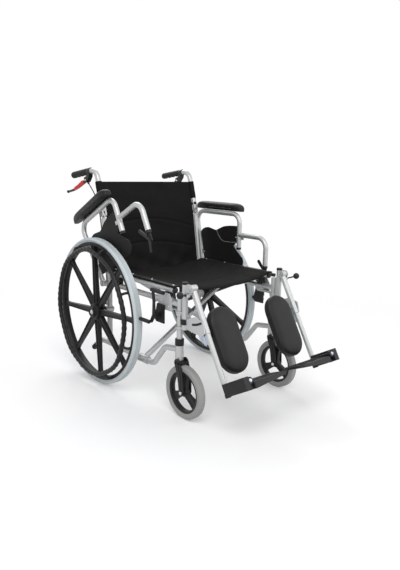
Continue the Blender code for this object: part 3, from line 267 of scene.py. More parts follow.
class Shape:
    """Closed solids gathered into one mesh."""

    def __init__(self):
        self.bm = bmesh.new()

    def grid(self, rows):
        for one, two in zip(rows, rows[1:]):
            for k in range(len(one) - 1):
                self.bm.faces.new((one[k], one[k + 1], two[k + 1], two[k]))

    def loft(self, rings, closed=False):
        rows = [[self.bm.verts.new(p) for p in ring] for ring in rings]
        self.grid([row + row[:1] for row in (rows + rows[:1] if closed else rows)])
        if not closed:
            self.bm.faces.new(rows[0])
            self.bm.faces.new(rows[-1])
        return self

    def tube(self, path, radius, closed=False, sides=None):
        """A round bar. The radius is one number, or a list with one for each point."""
        path = [Vector(p) for p in path]
        radii = radius if isinstance(radius, list) else [radius] * len(path)
        before = (path[-1:] if closed else path[:1]) + path[:-1]
        after = path[1:] + (path[:1] if closed else path[-1:])
        rings = []
        normal = None
        for last, point, following, r in zip(before, path, after, radii):
            ahead = (following - last).normalized()
            if normal is None:
                normal = OUT if abs(ahead.y) < 0.9 else AHEAD
            normal = (normal - ahead * normal.dot(ahead)).normalized()
            across = ahead.cross(normal)
            rings.append([point + (normal * c + across * n) * r for c, n in circle(sides or sizes().tube_sides)])
        return self.loft(rings, closed)

    def lathe(self, start, way, steps, sides=32, closed=False):
        """A turned bar: (distance, radius) steps along a straight axis. Closed makes it a ring."""
        way = Vector(way).normalized()
        start = Vector(start)
        side = OUT if abs(way.y) < 0.9 else AHEAD
        across = way.cross(side)
        return self.loft([[start + way * d + (side * c + across * n) * r for c, n in circle(sides)]
                          for d, r in steps], closed)

    def cross_lathe(self, point, steps, sides=32):
        return self.lathe(at(point), OUT, steps, sides)

    def ring(self, centre, y, half, segments):
        """A wheel's ring from (radius, half width) steps of one side."""
        steps = [(y + d, r) for r, d in half] + [(y - d, r) for r, d in reversed(half)]
        return self.lathe(at(centre), OUT, steps, segments, closed=True)

    def plate(self, outline, y0, y1):
        return self.loft([xz(outline, y0), xz(outline, y1)])

    def block(self, x, y, z):
        return self.plate([(x[0], z[0]), (x[1], z[0]), (x[1], z[1]), (x[0], z[1])], *y)

    def leg_block(self, a, y, t):
        """A block measured forward and down from the knee."""
        return self.block((KNEE[0] + a[0], KNEE[0] + a[1]), y, (KNEE[1] - t[1], KNEE[1] - t[0]))

    def strap(self, points, widths, y0, y1):
        """A flat bar with round ends that follows points in the side view."""
        points = [Vector((p[0], p[1])) for p in points]
        upper = []
        lower = []
        for before, point, after, wide in zip(points[:1] + points, points, points[1:] + points[-1:], widths):
            ahead = (after - before).normalized()
            across = Vector((-ahead.y, ahead.x)) * wide
            upper.append(point + across)
            lower.append(point - across)

        def end(tip, before, wide):
            first = atan2(tip.y - before.y, tip.x - before.x) + pi / 2.0
            turns = [first - pi * f for f in shares(8)[1:-1]]
            return [tip + Vector((cos(a), sin(a))) * wide for a in turns]

        front = end(points[-1], points[-2], widths[-1])
        return self.plate(upper + front + lower[::-1] + end(points[0], points[1], widths[0]), y0, y1)

    def ball(self, centre, radius, segments=24):
        bmesh.ops.create_uvsphere(self.bm, u_segments=segments, v_segments=segments // 2, radius=radius,
                                  matrix=Matrix.Translation(centre))

    def arm(self, centre, y, angle, levels, border, inner):
        """A wheel's arm from (radius, half width, half depth, sunk depth), with raised borders."""
        way = Vector((cos(angle), 0.0, sin(angle)))
        across = Vector((-sin(angle), 0.0, cos(angle)))
        rings = []
        for r, wide, deep, sunk in levels:
            edge = [(wide, deep), (wide - border, deep), (wide - inner, sunk)]
            face = edge + [(-a, b) for a, b in reversed(edge)]
            section = face + [(a, -b) for a, b in reversed(face)]
            rings.append([at(centre, y) + way * r + across * a + OUT * b for a, b in section])
        self.loft(rings)

    def made(self, name, place=SLIDE, s=1):
        """The mesh as an object at the origin, with its side and place in its vertices."""
        bmesh.ops.remove_doubles(self.bm, verts=self.bm.verts, dist=0.0000005)
        for vertex in self.bm.verts:
            vertex.co.y *= s
        bmesh.ops.recalc_face_normals(self.bm, faces=self.bm.faces)
        mesh = bpy.data.meshes.new(name)
        self.bm.to_mesh(mesh)
        self.bm.free()
        mesh.transform(place)
        return linked(name, mesh)


def dress(item, key, smooth=35.0):
    """Gives a piece its finish."""
    slot, title, colour, values = LOOKS[key]
    item.data.materials.clear()
    item.data.materials.append(finish(title, colour, **values))
    item.data.shade_smooth()
    item.data.set_sharp_from_angle(angle=radians(smooth))
    return item


def rigid(shape, name, body, key, nodes=(), place=SLIDE, round_by=None, s=1):
    """A hard piece: rounded edges, its finish, the body that it rides on."""
    item = dress(shape.made(name, place, s), key)
    width = sizes().edge_round if round_by is None else round_by
    if width:
        step = item.modifiers.new("rounding", "BEVEL")
        step.width = width
        step.segments = 2
        step.limit_method = "ANGLE"
        step.angle_limit = radians(38.0)
        step.harden_normals = True
    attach(item, body)
    if nodes:
        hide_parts(*nodes)


class Side:
    """A side of the chair. Its pieces, bodies and nodes share a tag, and s is -1 on the right."""

    def __init__(self, tag, s):
        self.tag = "_" + tag
        self.s = s

    def rigid(self, shape, name, body, key, node="", place=SLIDE, round_by=None):
        nodes = [node + self.tag] if node else []
        rigid(shape, name + self.tag, body + self.tag, key, nodes, place, round_by, self.s)

    def copies(self, name, source, spots, body, key, place=SLIDE):
        """Copies of a small part on (point, way) spots, as one plain mesh."""
        name += self.tag
        mirror = Matrix.Diagonal((1.0, self.s, 1.0))
        mesh = bpy.data.meshes.new(name + "_spots")
        mesh.from_pydata([mirror @ p for p, way in spots], [], [])
        ways = mesh.attributes.new("way", "FLOAT_VECTOR", "POINT")
        for entry, (p, way) in zip(ways.data, spots):
            entry.vector = mirror @ way
        holder = linked(name + "_spots", mesh)
        step = holder.modifiers.new("copies", "NODES")
        step.node_group = copies_tree()
        keys = {item.name: item.identifier for item in step.node_group.interface.items_tree}
        step[keys["Copy"]] = source
        graph = bpy.context.evaluated_depsgraph_get()
        plain = bpy.data.meshes.new_from_object(holder.evaluated_get(graph))
        bpy.data.objects.remove(holder)
        bpy.data.objects.remove(source)
        plain.transform(place)
        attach(dress(linked(name, plain), key), body + self.tag)

    def cushion(self, shape, name, body, node, middle, held, place, smooth, fill):
        """A padded piece, even about its middle, so that it is slid across and not mirrored."""
        item = shape.made(name + self.tag, STILL)
        plumped(item, held)
        item.data.transform(place @ Matrix.Translation(OUT * (self.s - 1.0) * middle))
        dress(item, "vinyl", smooth)
        step = item.modifiers.new("softening", "SUBSURF")
        step.levels = 1
        step.render_levels = 1
        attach(item, body + self.tag)
        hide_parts(node + self.tag)


SIDES = (Side("right", -1), Side("left", 1))


def arm_place(side):
    return turned_about(ARM_PIVOT, ARM_RAISED[side.s])


def leg_place():
    return turned_about(KNEE, LEG_TILT)


def plumped(item, held):
    """The cover pressed out from inside as cloth, fast where held(point) is true, by a small cap at most."""
    rest = [v.co.copy() for v in item.data.vertices]
    fast = item.vertex_groups.new(name="held")
    fast.add([i for i, p in enumerate(rest) if held(p)], 1.0, "REPLACE")
    step = item.modifiers.new("cover", "CLOTH")
    cover = step.settings
    cover.quality = 8
    cover.mass = 0.1
    cover.tension_stiffness = 15.0
    cover.compression_stiffness = 15.0
    cover.bending_stiffness = 2.0
    cover.use_pressure = True
    cover.uniform_pressure_force = 4.0
    cover.vertex_group_mass = "held"
    cover.effector_weights.gravity = 0.0
    step.collision_settings.use_collision = False
    scene = bpy.context.scene
    for frame_number in range(1, 21):
        scene.frame_set(frame_number)
    swelled = item.evaluated_get(bpy.context.evaluated_depsgraph_get()).data
    moves = [v.co - p for v, p in zip(swelled.vertices, rest)]
    item.modifiers.remove(step)
    item.vertex_groups.remove(fast)
    scene.frame_set(1)
    for vertex, p, move in zip(item.data.vertices, rest, moves):
        vertex.co = p + move * (PAD_SWELL / max(PAD_SWELL, move.length))


def screw_head(radius=0.0038, tall=0.0022):
    """A domed screw head with a round recess, its Z outwards."""
    dome = [(0.0, 1.0), (0.45, 0.97), (0.8, 0.72), (1.0, 0.4), (0.55, 0.3)]
    shape = Shape().lathe((0.0, 0.0, 0.0), UP, [(tall * d, radius * r) for d, r in dome], 12)
    return shape.made("screw_head", STILL)


def bolt_head(radius, tall):
    """A six-sided bolt head on a washer, its Z outwards."""
    shape = Shape().lathe((0.0, 0.0, 0.0), UP, [(0.0, radius * 1.3), (0.001, radius * 1.3)], 20)
    shape.lathe((0.0, 0.0, 0.001), UP, [(0.0, radius), (tall, radius), (tall + 0.0006, radius * 0.85)], 6)
    return shape.made("bolt_head", STILL)


def wire(tree, value, socket):
    """Joins another node's output to a socket, or sets the socket's value."""
    if isinstance(value, bpy.types.NodeSocket):
        tree.links.new(value, socket)
    else:
        socket.default_value = value


def node(tree, kind, wires=(), **settings):
    """A new node with its settings, each input wired to a value or an output."""
    step = tree.nodes.new(kind)
    for key, value in settings.items():
        setattr(step, key, value)
    for key, value in dict(wires).items():
        wire(tree, value, step.inputs[key])
    return step


def maths(tree, operation, *values, clamp=False):
    return node(tree, "ShaderNodeMath", enumerate(values), operation=operation, use_clamp=clamp).outputs[0]


def noise(tree, vector, scale, detail):
    wires = {"Vector": vector, "Scale": scale, "Detail": detail}
    return node(tree, "ShaderNodeTexNoise", wires).outputs["Fac"]


def socket(tree, label, in_out, kind="Float"):
    return tree.interface.new_socket(label, in_out=in_out, socket_type="NodeSocket" + kind)


def copies_tree():
    """Puts a copy of an object on each vertex, its Z along the vertex's way."""
    name = "Copies on points"
    if name in bpy.data.node_groups:
        return bpy.data.node_groups[name]
    tree = bpy.data.node_groups.new(name, "GeometryNodeTree")
    socket(tree, "Points", "INPUT", "Geometry")
    socket(tree, "Copy", "INPUT", "Object")
    socket(tree, "Mesh", "OUTPUT", "Geometry")
    given = node(tree, "NodeGroupInput").outputs
    copy = node(tree, "GeometryNodeObjectInfo", {"Object": given["Copy"]}).outputs["Geometry"]
    way = node(tree, "GeometryNodeInputNamedAttribute", {"Name": "way"}, data_type="FLOAT_VECTOR")
    turn = node(tree, "FunctionNodeAlignRotationToVector", {"Vector": way.outputs["Attribute"]}, axis="Z")
    place = node(tree, "GeometryNodeInstanceOnPoints", {
        "Points": given["Points"], "Instance": copy, "Rotation": turn.outputs["Rotation"]})
    real = node(tree, "GeometryNodeRealizeInstances", {"Geometry": place.outputs["Instances"]})
    node(tree, "NodeGroupOutput", {"Mesh": real.outputs["Geometry"]})
    return tree


def grain_nodes(tree, given):
    """Fine moulded or sprayed grain, and slow changes of tone."""
    return noise(tree, given["Vector"], given["Scale"], 2.0), noise(tree, given["Vector"], 14.0, 4.0)


def wear_nodes(tree, given):
    """Edges where hands and floors rub, from the surface's own sharpness."""
    sharp = maths(tree, "SUBTRACT", node(tree, "ShaderNodeNewGeometry").outputs["Pointiness"], 0.52)
    sharp = maths(tree, "MULTIPLY", sharp, 12.0, clamp=True)
    mask = maths(tree, "MULTIPLY", sharp, noise(tree, given["Vector"], 60.0, 5.0), clamp=True)
    return (maths(tree, "MULTIPLY", mask, given["Amount"], clamp=True),)


def dust_nodes(tree, given):
    """A thin dust on faces that look up."""
    normal = node(tree, "ShaderNodeNewGeometry").outputs["Normal"]
    up = maths(tree, "MAXIMUM", node(tree, "ShaderNodeSeparateXYZ", {0: normal}).outputs["Z"], 0.0)
    mask = maths(tree, "MULTIPLY", up, noise(tree, given["Vector"], 35.0, 6.0))
    return (maths(tree, "MULTIPLY", mask, given["Amount"], clamp=True),)


def weave_nodes(tree, given):
    """A plain weave: threads over and under, from two crossed sets of waves."""
    split = node(tree, "ShaderNodeSeparateXYZ", {0: given["Vector"]}).outputs
    waves = []
    for value in (maths(tree, "ADD", split["X"], split["Z"]), split["Y"]):
        turns = maths(tree, "MULTIPLY", value, given["Threads"])
        waves.append(maths(tree, "SINE", maths(tree, "MULTIPLY", turns, 2.0 * pi)))
    return (maths(tree, "MULTIPLY_ADD", maths(tree, "MULTIPLY", *waves), 0.5),)


GROUPS = {
    "Grain": (grain_nodes, "Scale", 900.0, ("Height", "Tone")),
    "Edge wear": (wear_nodes, "Amount", 0.5, ("Mask",)),
    "Dust": (dust_nodes, "Amount", 0.15, ("Mask",)),
    "Weave": (weave_nodes, "Threads", 520.0, ("Height",)),
}


def group(name):
    """A shader group, made once."""
    if name in bpy.data.node_groups:
        return bpy.data.node_groups[name]
    fill, amount, default, results = GROUPS[name]
    tree = bpy.data.node_groups.new(name, "ShaderNodeTree")
    socket(tree, "Vector", "INPUT", "Vector")
    socket(tree, amount, "INPUT").default_value = default
    for label in results:
        socket(tree, label, "OUTPUT")
    sources = fill(tree, node(tree, "NodeGroupInput").outputs)
    node(tree, "NodeGroupOutput", zip(results, sources))
    return tree


DUST_COLOUR = (0.42, 0.41, 0.39)
BUMP_HEIGHT = 0.0006
LOOKS = {
    "silver": ("silver_paint", "silver powder coat", "silver", dict(
        rough=0.42, metal=0.55, grain=1500.0, bump=0.03, wear=0.14, dust=0.06, tone=0.05, coat=0.08)),
    "steel": ("steel", "bright steel", (0.62, 0.63, 0.64), dict(
        rough=0.28, metal=1.0, grain=700.0, bump=0.03, wear=0.2, worn=(0.8, 0.8, 0.8), dust=0.05)),
    "zinc": ("zinc", "zinc plate", (0.48, 0.53, 0.60), dict(
        rough=0.36, metal=0.9, grain=260.0, bump=0.05, wear=0.3, worn=(0.7, 0.7, 0.7), dust=0.06, tone=0.16)),
    "black": ("black_plastic", "black moulding", (0.011, 0.011, 0.012), dict(
        rough=0.44, grain=1300.0, bump=0.1, wear=0.25, worn=(0.06, 0.06, 0.065), tone=0.25, gloss=0.28)),
    "rubber": ("black_rubber", "black grip rubber", (0.012, 0.012, 0.013), dict(
        rough=0.62, grain=1100.0, bump=0.14, wear=0.2, worn=(0.05, 0.05, 0.05), dust=0.08, tone=0.25,
        gloss=0.25)),
    "red": ("red_plastic", "red moulding", (0.60, 0.012, 0.010), dict(
        rough=0.4, grain=1300.0, bump=0.05, wear=0.1, worn=(0.62, 0.08, 0.07), dust=0.02, gloss=0.3)),
    "tyre": ("grey_tyre", "rear tyre rubber", "tyre", dict(
        rough=0.72, grain=800.0, bump=0.18, wear=0.25, worn=(0.30, 0.31, 0.32), dust=0.1, tone=0.1)),
    "caster": ("caster_rubber", "caster tyre rubber", "caster", dict(
        rough=0.7, grain=800.0, bump=0.18, wear=0.25, worn=(0.22, 0.22, 0.21), dust=0.1, tone=0.1)),
    "sling": ("cloth", "sling nylon", "cloth", dict(rough=0.72, bump=0.45, tone=0.18, weave=480.0, gloss=0.04)),
    "guard": ("cloth", "guard cloth", (0.0120, 0.0116, 0.0112), dict(
        rough=0.55, tone=0.18, weave=320.0, gloss=0.16)),
    "vinyl": ("vinyl", "pad vinyl", "vinyl", dict(
        rough=0.46, wear=0.15, worn=(0.05, 0.05, 0.055), tone=0.15, cells=420.0, gloss=0.24)),
    "piping": ("cloth", "grey piping", (0.30, 0.30, 0.31), dict(rough=0.75, dust=0.05, tone=0.1, weave=700.0)),
}
LOOKS["strip"] = ("cloth", *LOOKS["black"][1:])


def finish(title, colour, rough, metal=0.0, grain=900.0, bump=0.3, wear=0.0, worn=(0.6, 0.6, 0.6),
           dust=0.03, tone=0.12, weave=0.0, cells=0.0, coat=0.0, gloss=0.5):
    """A finish: its colour with tone, wear and dust over it, and its grain, weave or cells as bump."""
    if title in bpy.data.materials:
        return bpy.data.materials[title]
    if isinstance(colour, str):
        colour = getattr(bpy.context.scene.wheelchair_colours, colour)
    material = bpy.data.materials.new(title)
    material.use_nodes = True
    tree = material.node_tree
    place = node(tree, "ShaderNodeTexCoord").outputs["Object"]

    def use(name, **values):
        return node(tree, "ShaderNodeGroup", {"Vector": place, **values}, node_tree=group(name)).outputs

    def mixed(share, one, two):
        wires = {"Factor": share, "A": one, "B": (*two, 1.0)}
        return node(tree, "ShaderNodeMix", wires, data_type="RGBA").outputs["Result"]

    grained = use("Grain", Scale=grain)
    dark = (*[c * (1.0 - tone) for c in colour], 1.0)
    shade = mixed(grained["Tone"], dark, [min(1.0, c * (1.0 + tone)) for c in colour])
    rough_now = maths(tree, "MULTIPLY_ADD", grained["Tone"], 0.16, rough - 0.08)
    for name, amount, tint, change in (("Edge wear", wear, worn, -0.12), ("Dust", dust, DUST_COLOUR, 0.35)):
        if amount:
            mask = use(name, Amount=amount)["Mask"]
            shade = mixed(mask, shade, tint)
            rough_now = maths(tree, "ADD", rough_now, maths(tree, "MULTIPLY", mask, change), clamp=True)
    height = grained["Height"]
    if weave:
        height = use("Weave", Threads=weave)["Height"]
    if cells:
        cell = node(tree, "ShaderNodeTexVoronoi", {"Vector": place, "Scale": cells}, feature="DISTANCE_TO_EDGE")
        height = maths(tree, "MINIMUM", cell.outputs["Distance"], 0.25)
    raised = node(tree, "ShaderNodeBump", {"Strength": bump, "Distance": BUMP_HEIGHT, "Height": height})
    shader = tree.nodes["Principled BSDF"]
    for key, value in (("Base Color", shade), ("Roughness", rough_now), ("Metallic", metal),
                       ("Coat Weight", coat), ("Coat Roughness", 0.25), ("Specular IOR Level", gloss),
                       ("Normal", raised.outputs["Normal"])):
        wire(tree, value, shader.inputs[key])
    return material


def both_sides(*parts):
    """Makes the parts on the right side and then on the left."""
    for side in SIDES:
        for part in parts:
            part(side)
    return {"FINISHED"}


def tyre(side):
    """A grooved tyre with two rows of tread ribs."""
    inner = WHEEL_R - TYRE_DEPTH
    half = [(inner, RIM_HALF - 0.0008), (inner + 0.003, RIM_HALF + 0.0006)]
    for f in shares(8):
        a = radians(80.0 * f)
        half.append((WHEEL_R - 0.0095 + 0.0085 * sin(a), 0.0095 + 0.0085 * cos(a)))
    for groove in (0.0062, 0.0022):
        half += [(WHEEL_R - 0.0005, groove + 0.0008), (WHEEL_R - 0.002, groove + 0.0004),
                 (WHEEL_R - 0.002, groove - 0.0004), (WHEEL_R, groove - 0.0008)]
    side.rigid(Shape().ring(WHEEL, WHEEL_Y, half, 160), "tyre", "wheel", "tyre", "rear_tyre", round_by=0.0)
    rib = Shape().block((-0.0006, 0.0006), (-0.0026, 0.0026), (-0.0008, 0.0004)).made("tread_rib", STILL)
    spots = []
    for c, n in circle(150):
        way = Vector((c, 0.0, n))
        spots += [(at(WHEEL, WHEEL_Y + d) + way * (WHEEL_R - 0.0008), way) for d in (-0.0105, 0.0105)]
    side.copies("tyre_ribs", rib, spots, "wheel", "tyre")


def rear_wheel(side):
    """Rim, hub and tapered arms, and the axle through the hub."""
    outer = WHEEL_R - TYRE_DEPTH - 0.0004
    shape = Shape().ring(WHEEL, WHEEL_Y, [
        (outer, RIM_HALF - 0.0015), (outer - 0.0015, RIM_HALF), (RIM_INNER + 0.004, RIM_HALF),
        (RIM_INNER + 0.0012, RIM_HALF - 0.0018), (RIM_INNER, 0.0095), (RIM_INNER - 0.0012, 0.005)], 144)
    shape.cross_lathe(WHEEL, [
        (0.2725, 0.017), (0.2735, 0.019), (0.287, 0.019), (0.2895, 0.0225), (0.2905, 0.0335), (0.292, 0.034),
        (0.3225, 0.034), (0.325, 0.032), (0.3262, 0.024), (0.3275, 0.0222), (0.337, 0.021), (0.338, 0.0196),
        (0.338, 0.015), (0.337, 0.0136), (0.3347, 0.013)], 48)
    shape.ring(WHEEL, 0.32685, [(0.03, 0.00065), (0.0275, 0.00065)], 48)
    levels = []
    for f in shares(16):
        wide = 0.0128 - 0.0048 * f + 0.007 * max(0.0, (f - 0.84) / 0.16) ** 2
        deep = 0.01 - 0.003 * f
        sunk = deep * (0.45 if 0.06 < f < 0.94 else 0.98)
        levels.append((0.026 + (RIM_INNER - 0.022) * f, wide, deep, sunk))
    for k in range(SPOKES):
        angle = radians(SPOKE_PHASE[side.s] + 360.0 * k / SPOKES)
        shape.arm(WHEEL, WHEEL_Y, angle, levels, 0.003, 0.0045)
    side.rigid(shape, "wheel", "wheel", "black", "rear_wheel", round_by=0.0008)
    axle = Shape().cross_lathe(WHEEL, [
        (0.23, 0.009), (0.231, 0.01), (0.2351, 0.01), (0.2351, 0.006), (0.3349, 0.006), (0.3349, 0.0096),
        (0.3356, 0.0098), (0.3361, 0.008)])
    axle.cross_lathe(WHEEL, [(0.336, 0.006), (0.3386, 0.006), (0.3391, 0.005)], 6)
    side.rigid(axle, "axle", "frame", "steel", "rear_axle")


def handrim(side):
    """A waved rim with finger swells, on curved lugs between the arms."""
    phase = radians(SPOKE_PHASE[side.s])
    turns = [2.0 * pi * f for f in shares(240)[:-1]]
    path = []
    for a in turns:
        r = HANDRIM_R + 0.0022 * cos(SPOKES * a)
        path.append((r * cos(phase + a), HANDRIM_Y, WHEEL_R + r * sin(phase + a)))
    shape = Shape().tube(path, [0.0094 + 0.0009 * cos(64.0 * a) for a in turns], closed=True, sides=20)
    for k in range(SPOKES):
        a = phase + 2.0 * pi * (k + 0.5) / SPOKES
        stops = [(r * cos(a), y, WHEEL_R + r * sin(a)) for r, y in (
            (HANDRIM_R, HANDRIM_Y), (0.269, 0.342), (0.277, 0.336), (0.28, 0.329), (0.2802, 0.3224))]
        path = flowing(stops, 4)
        shape.tube(path, [0.0052 + 0.0014 * (2.0 * f - 1.0) ** 4 for f in shares(len(path) - 1)], sides=16)
    side.rigid(shape, "handrim", "wheel", "black", "handrim", round_by=0.0)


class WHEELCHAIR_OT_rear_wheels(bpy.types.Operator):
    """Tyres, moulded wheels and wavy handrims"""

    bl_idname = "wheelchair.rear_wheels"
    bl_label = "Rear wheels"

    def execute(self, context):
        return both_sides(tyre, rear_wheel, handrim)


def fork(side):
    """A ribbed fork with its stem, and the caster's pin."""
    y = FRAME_Y
    inner = CASTER_HALF + 0.0025
    outer = inner + 0.0045
    shape = Shape().lathe((FRONT_X, y, 0.0), UP, [
        (0.2035, 0.015), (0.205, 0.0175), (0.211, 0.0175), (0.2124, 0.016), (0.2124, 0.0062), (0.27, 0.0062)])
    shape.block((FRONT_X - 0.004, FRONT_X + 0.03), (y - outer, y + outer), (0.2035, 0.211))
    line = flowing([(FRONT_X + 0.012, 0.2065), (FRONT_X + 0.022, 0.182), (FRONT_X + 0.031, 0.145), CASTER], 5)
    widths = [0.016 - 0.0042 * f ** 2 for f in shares(len(line) - 1)]
    for d in (-1, 1):
        shape.strap(line, widths, y + d * inner, y + d * outer)
        shape.strap(line, [0.0028] * len(line), y + d * (outer - 0.0004), y + d * (outer + 0.0014))
    side.rigid(shape, "fork", "caster", "black", "caster_fork", round_by=0.0009)
    head = [(0.0, 0.0058), (0.001, 0.0066), (0.0038, 0.0066), (0.0038, 0.0046)]
    pin = Shape().lathe(at(CASTER, y - outer - 0.004), OUT, both_ends(head, 2.0 * outer + 0.008))
    side.rigid(pin, "fork_pin", "caster", "steel", round_by=0.0)


def caster_wheel(side):
    """A caster's tyre, and its wheel with three arms."""
    half =[(CASTER_R - 0.0218, 0.0112), (CASTER_R - 0.015, 0.0134)]
    for f in shares(7):
        a = pi / 2.0 * f
        half.append((CASTER_R - 0.0075 + 0.0075 * sin(a), 0.0062 + 0.0078 * cos(a)))
    side.rigid(Shape().ring(CASTER, FRAME_Y, half, 96), "caster_tyre_skin", "caster_wheel", "caster",
               "caster_tyre", round_by=0.0)
    outer = CASTER_R - 0.0224
    shape = Shape().ring(CASTER, FRAME_Y, [
        (outer, 0.0115), (outer - 0.004, 0.0115), (outer - 0.0075, 0.0098), (outer - 0.009, 0.006)], 96)
    hub = CASTER_HALF + 0.0019
    steps = [(0.0, 0.0085), (0.0008, 0.0095), (0.0045, 0.0105), (0.006, 0.016)]
    shape.lathe(at(CASTER, FRAME_Y - hub), OUT, both_ends(steps, 2.0 * hub))
    deep = 0.0074
    levels = [(0.01 + (outer - 0.014) * f, 0.011 + 0.008 * f * f, deep, deep * (0.5 if 0.2 < f < 0.9 else 0.98))
              for f in shares(8)]
    for k in range(3):
        shape.arm(CASTER, FRAME_Y, radians(90.0 + 120.0 * k), levels, 0.003, 0.004)
    side.rigid(shape, "caster_hub", "caster_wheel", "black", "caster_wheel")


class WHEELCHAIR_OT_casters(bpy.types.Operator):
    """Front casters: forks, wheels and tyres"""

    bl_idname = "wheelchair.casters"
    bl_label = "Casters"

    def execute(self, context):
        return both_sides(fork, caster_wheel)


def side_tubes(side):
    """Bent tubes, the caster's housing, the axle's sleeve and the gusset."""
    y = FRAME_Y
    r = sizes().tube_radius
    lower = [(FRONT_X, 0.252), (0.388, 0.24), (0.318, RAIL_Z), (-0.062, RAIL_Z), (-0.13, 0.1035)]
    post = [(0.0, RAIL_Z), POST_FOOT, on_line(HINGE, LOWER_CANE, -0.0135)]
    shape = Shape().tube(rounded(xz(lower, y), 0.032), r)
    shape.tube(rounded(xz(post, y), 0.06, 16), r)
    shape.tube(xz([(0.0, SIDE_Z), (FRONT_X, SIDE_Z)], y), r)
    shape.lathe((FRONT_X, y, 0.0), UP, [
        (HOUSING_Z, 0.0145), (HOUSING_Z + 0.001, 0.0155), (0.268, 0.0155), (0.268, r), (0.38, r),
        (0.38, 0.015), (0.3895, 0.015), (0.3895, r), (0.462, r)])
    shape.strap([on_line(HINGE, LOWER_CANE, -0.024), HINGE], [0.0095, 0.0095], y - 0.0028, y + 0.0028)
    shape.cross_lathe(WHEEL, barrel(0.2355, 0.2715, 0.016))
    shape.plate([(0.359, 0.4), (0.372, 0.387), (0.44, 0.387), (0.44, 0.43), (0.425, 0.451), (0.359, 0.451)],
                0.2578, GUSSET_Y)
    shape.block((0.412, 0.468), (0.24, 0.26), (0.397, 0.4))
    side.rigid(shape, "side_tubes", "frame", "silver", "side_frame")


def fittings(side):
    """Caps and saddles, pins, the gusset's bolts and the wheel lock's base."""
    y = FRAME_Y
    black = Shape().lathe((FRONT_X, y, 0.0), UP, [
        (0.268, 0.016), (0.269, 0.0166), (0.292, 0.0166), (0.293, 0.0155)])
    black.tube(xz([(-0.103, 0.124), (-0.1065, 0.1213), (-0.1325, 0.1016), (-0.134, 0.1005)], y),
               [0.0118, 0.0126, 0.0126, 0.0104])
    for x in (0.08, 0.4):
        black.block((x - 0.0125, x + 0.0125), (0.2385, 0.2575), (0.4212, 0.4528))
    side.rigid(black, "frame_caps", "frame", "black")
    pins = Shape().cross_lathe(ARM_PIVOT, [
        (0.25, 0.0085), (0.251, 0.009), (0.2637, 0.009), (0.2637, 0.004), (0.2865, 0.004)])
    pins.cross_lathe((0.375, 0.4185), [
        (0.25, 0.005), (0.2635, 0.005), (0.2635, 0.003), (0.284, 0.003), (0.2845, 0.0024)])
    pins.lathe(at(HINGE, y - 0.0108), OUT, [(0.0, 0.0035), (0.0216, 0.0035)])
    pins.block((-0.027, -0.004), (0.2425, 0.2535), (0.32, 0.336))
    side.rigid(pins, "frame_pins", "frame", "steel", round_by=0.0003)
    spots = [(at(p, GUSSET_Y), OUT) for p in ((0.37, 0.441), (0.429, 0.405))]
    side.copies("gusset_bolts", bolt_head(0.0042, 0.003), spots, "frame", "steel")
    lock = Shape().plate([(0.346, 0.345), (0.356, 0.335), (0.402, 0.335), (0.402, 0.405), (0.36, 0.405)],
                         0.2618, 0.268)
    lock.cross_lathe(LOCK, [(0.265, 0.0085), (0.2876, 0.0085), (0.2876, 0.004), (0.2955, 0.004), (0.296, 0.0034)])
    side.rigid(lock, "lock_base", "frame", "black", "wheel_lock_base")


class WHEELCHAIR_OT_side_frames(bpy.types.Operator):
    """Side frames with their brackets, sleeves and caps"""

    bl_idname = "wheelchair.side_frames"
    bl_label = "Side frames"

    def execute(self, context):
        return both_sides(side_tubes, fittings)


def brace(side):
    """One arm of the cross on its own plane, with its sleeve, seat rail and caps."""
    x = {-1: 0.25, 1: 0.222}[side.s]
    r = sizes().tube_radius
    shape = Shape().tube([(x, FRAME_Y, RAIL_Z), (x, -FRAME_Y, SEAT_Z)], r)
    sleeve = barrel(-0.03, 0.03, r + 0.0045, 0.001, 0.0005)
    shape.lathe((x, FRAME_Y, RAIL_Z), AHEAD, [(-0.03, r + 0.0006), *sleeve, (0.03, r + 0.0006)], 40, closed=True)
    shape.tube([(0.044, -FRAME_Y, SEAT_Z), (0.443, -FRAME_Y, SEAT_Z)], r)
    side.rigid(shape, "brace_cross", "cross", "silver", "cross_arm")
    caps = Shape()
    for start, way in ((0.0465, -AHEAD), (0.4405, AHEAD)):
        caps.lathe((start, -FRAME_Y, SEAT_Z), way, [
            (0.0, r + 0.0004), (0.0055, r + 0.0004), (0.0065, r - 0.001), (0.007, r - 0.003)])
    side.rigid(caps, "rail_caps_cross", "cross", "black")


class WHEELCHAIR_OT_cross_brace(bpy.types.Operator):
    """The two crossed arms with their seat rails"""

    bl_idname = "wheelchair.cross_brace"
    bl_label = "Cross brace"

    def execute(self, context):
        brace(Side("a", -1))
        brace(Side("b", 1))
        bolt = Shape().lathe((0.0, 0.0, (RAIL_Z + SEAT_Z) / 2.0), AHEAD, [
            (0.2055, 0.0072), (0.2062, 0.0085), (0.21, 0.0085), (0.21, 0.004), (0.259, 0.004),
            (0.259, 0.0085), (0.2648, 0.0085), (0.2655, 0.0072)])
        rigid(bolt, "cross_bolt", "cross_a", "steel", round_by=0.0003)
        return {"FINISHED"}


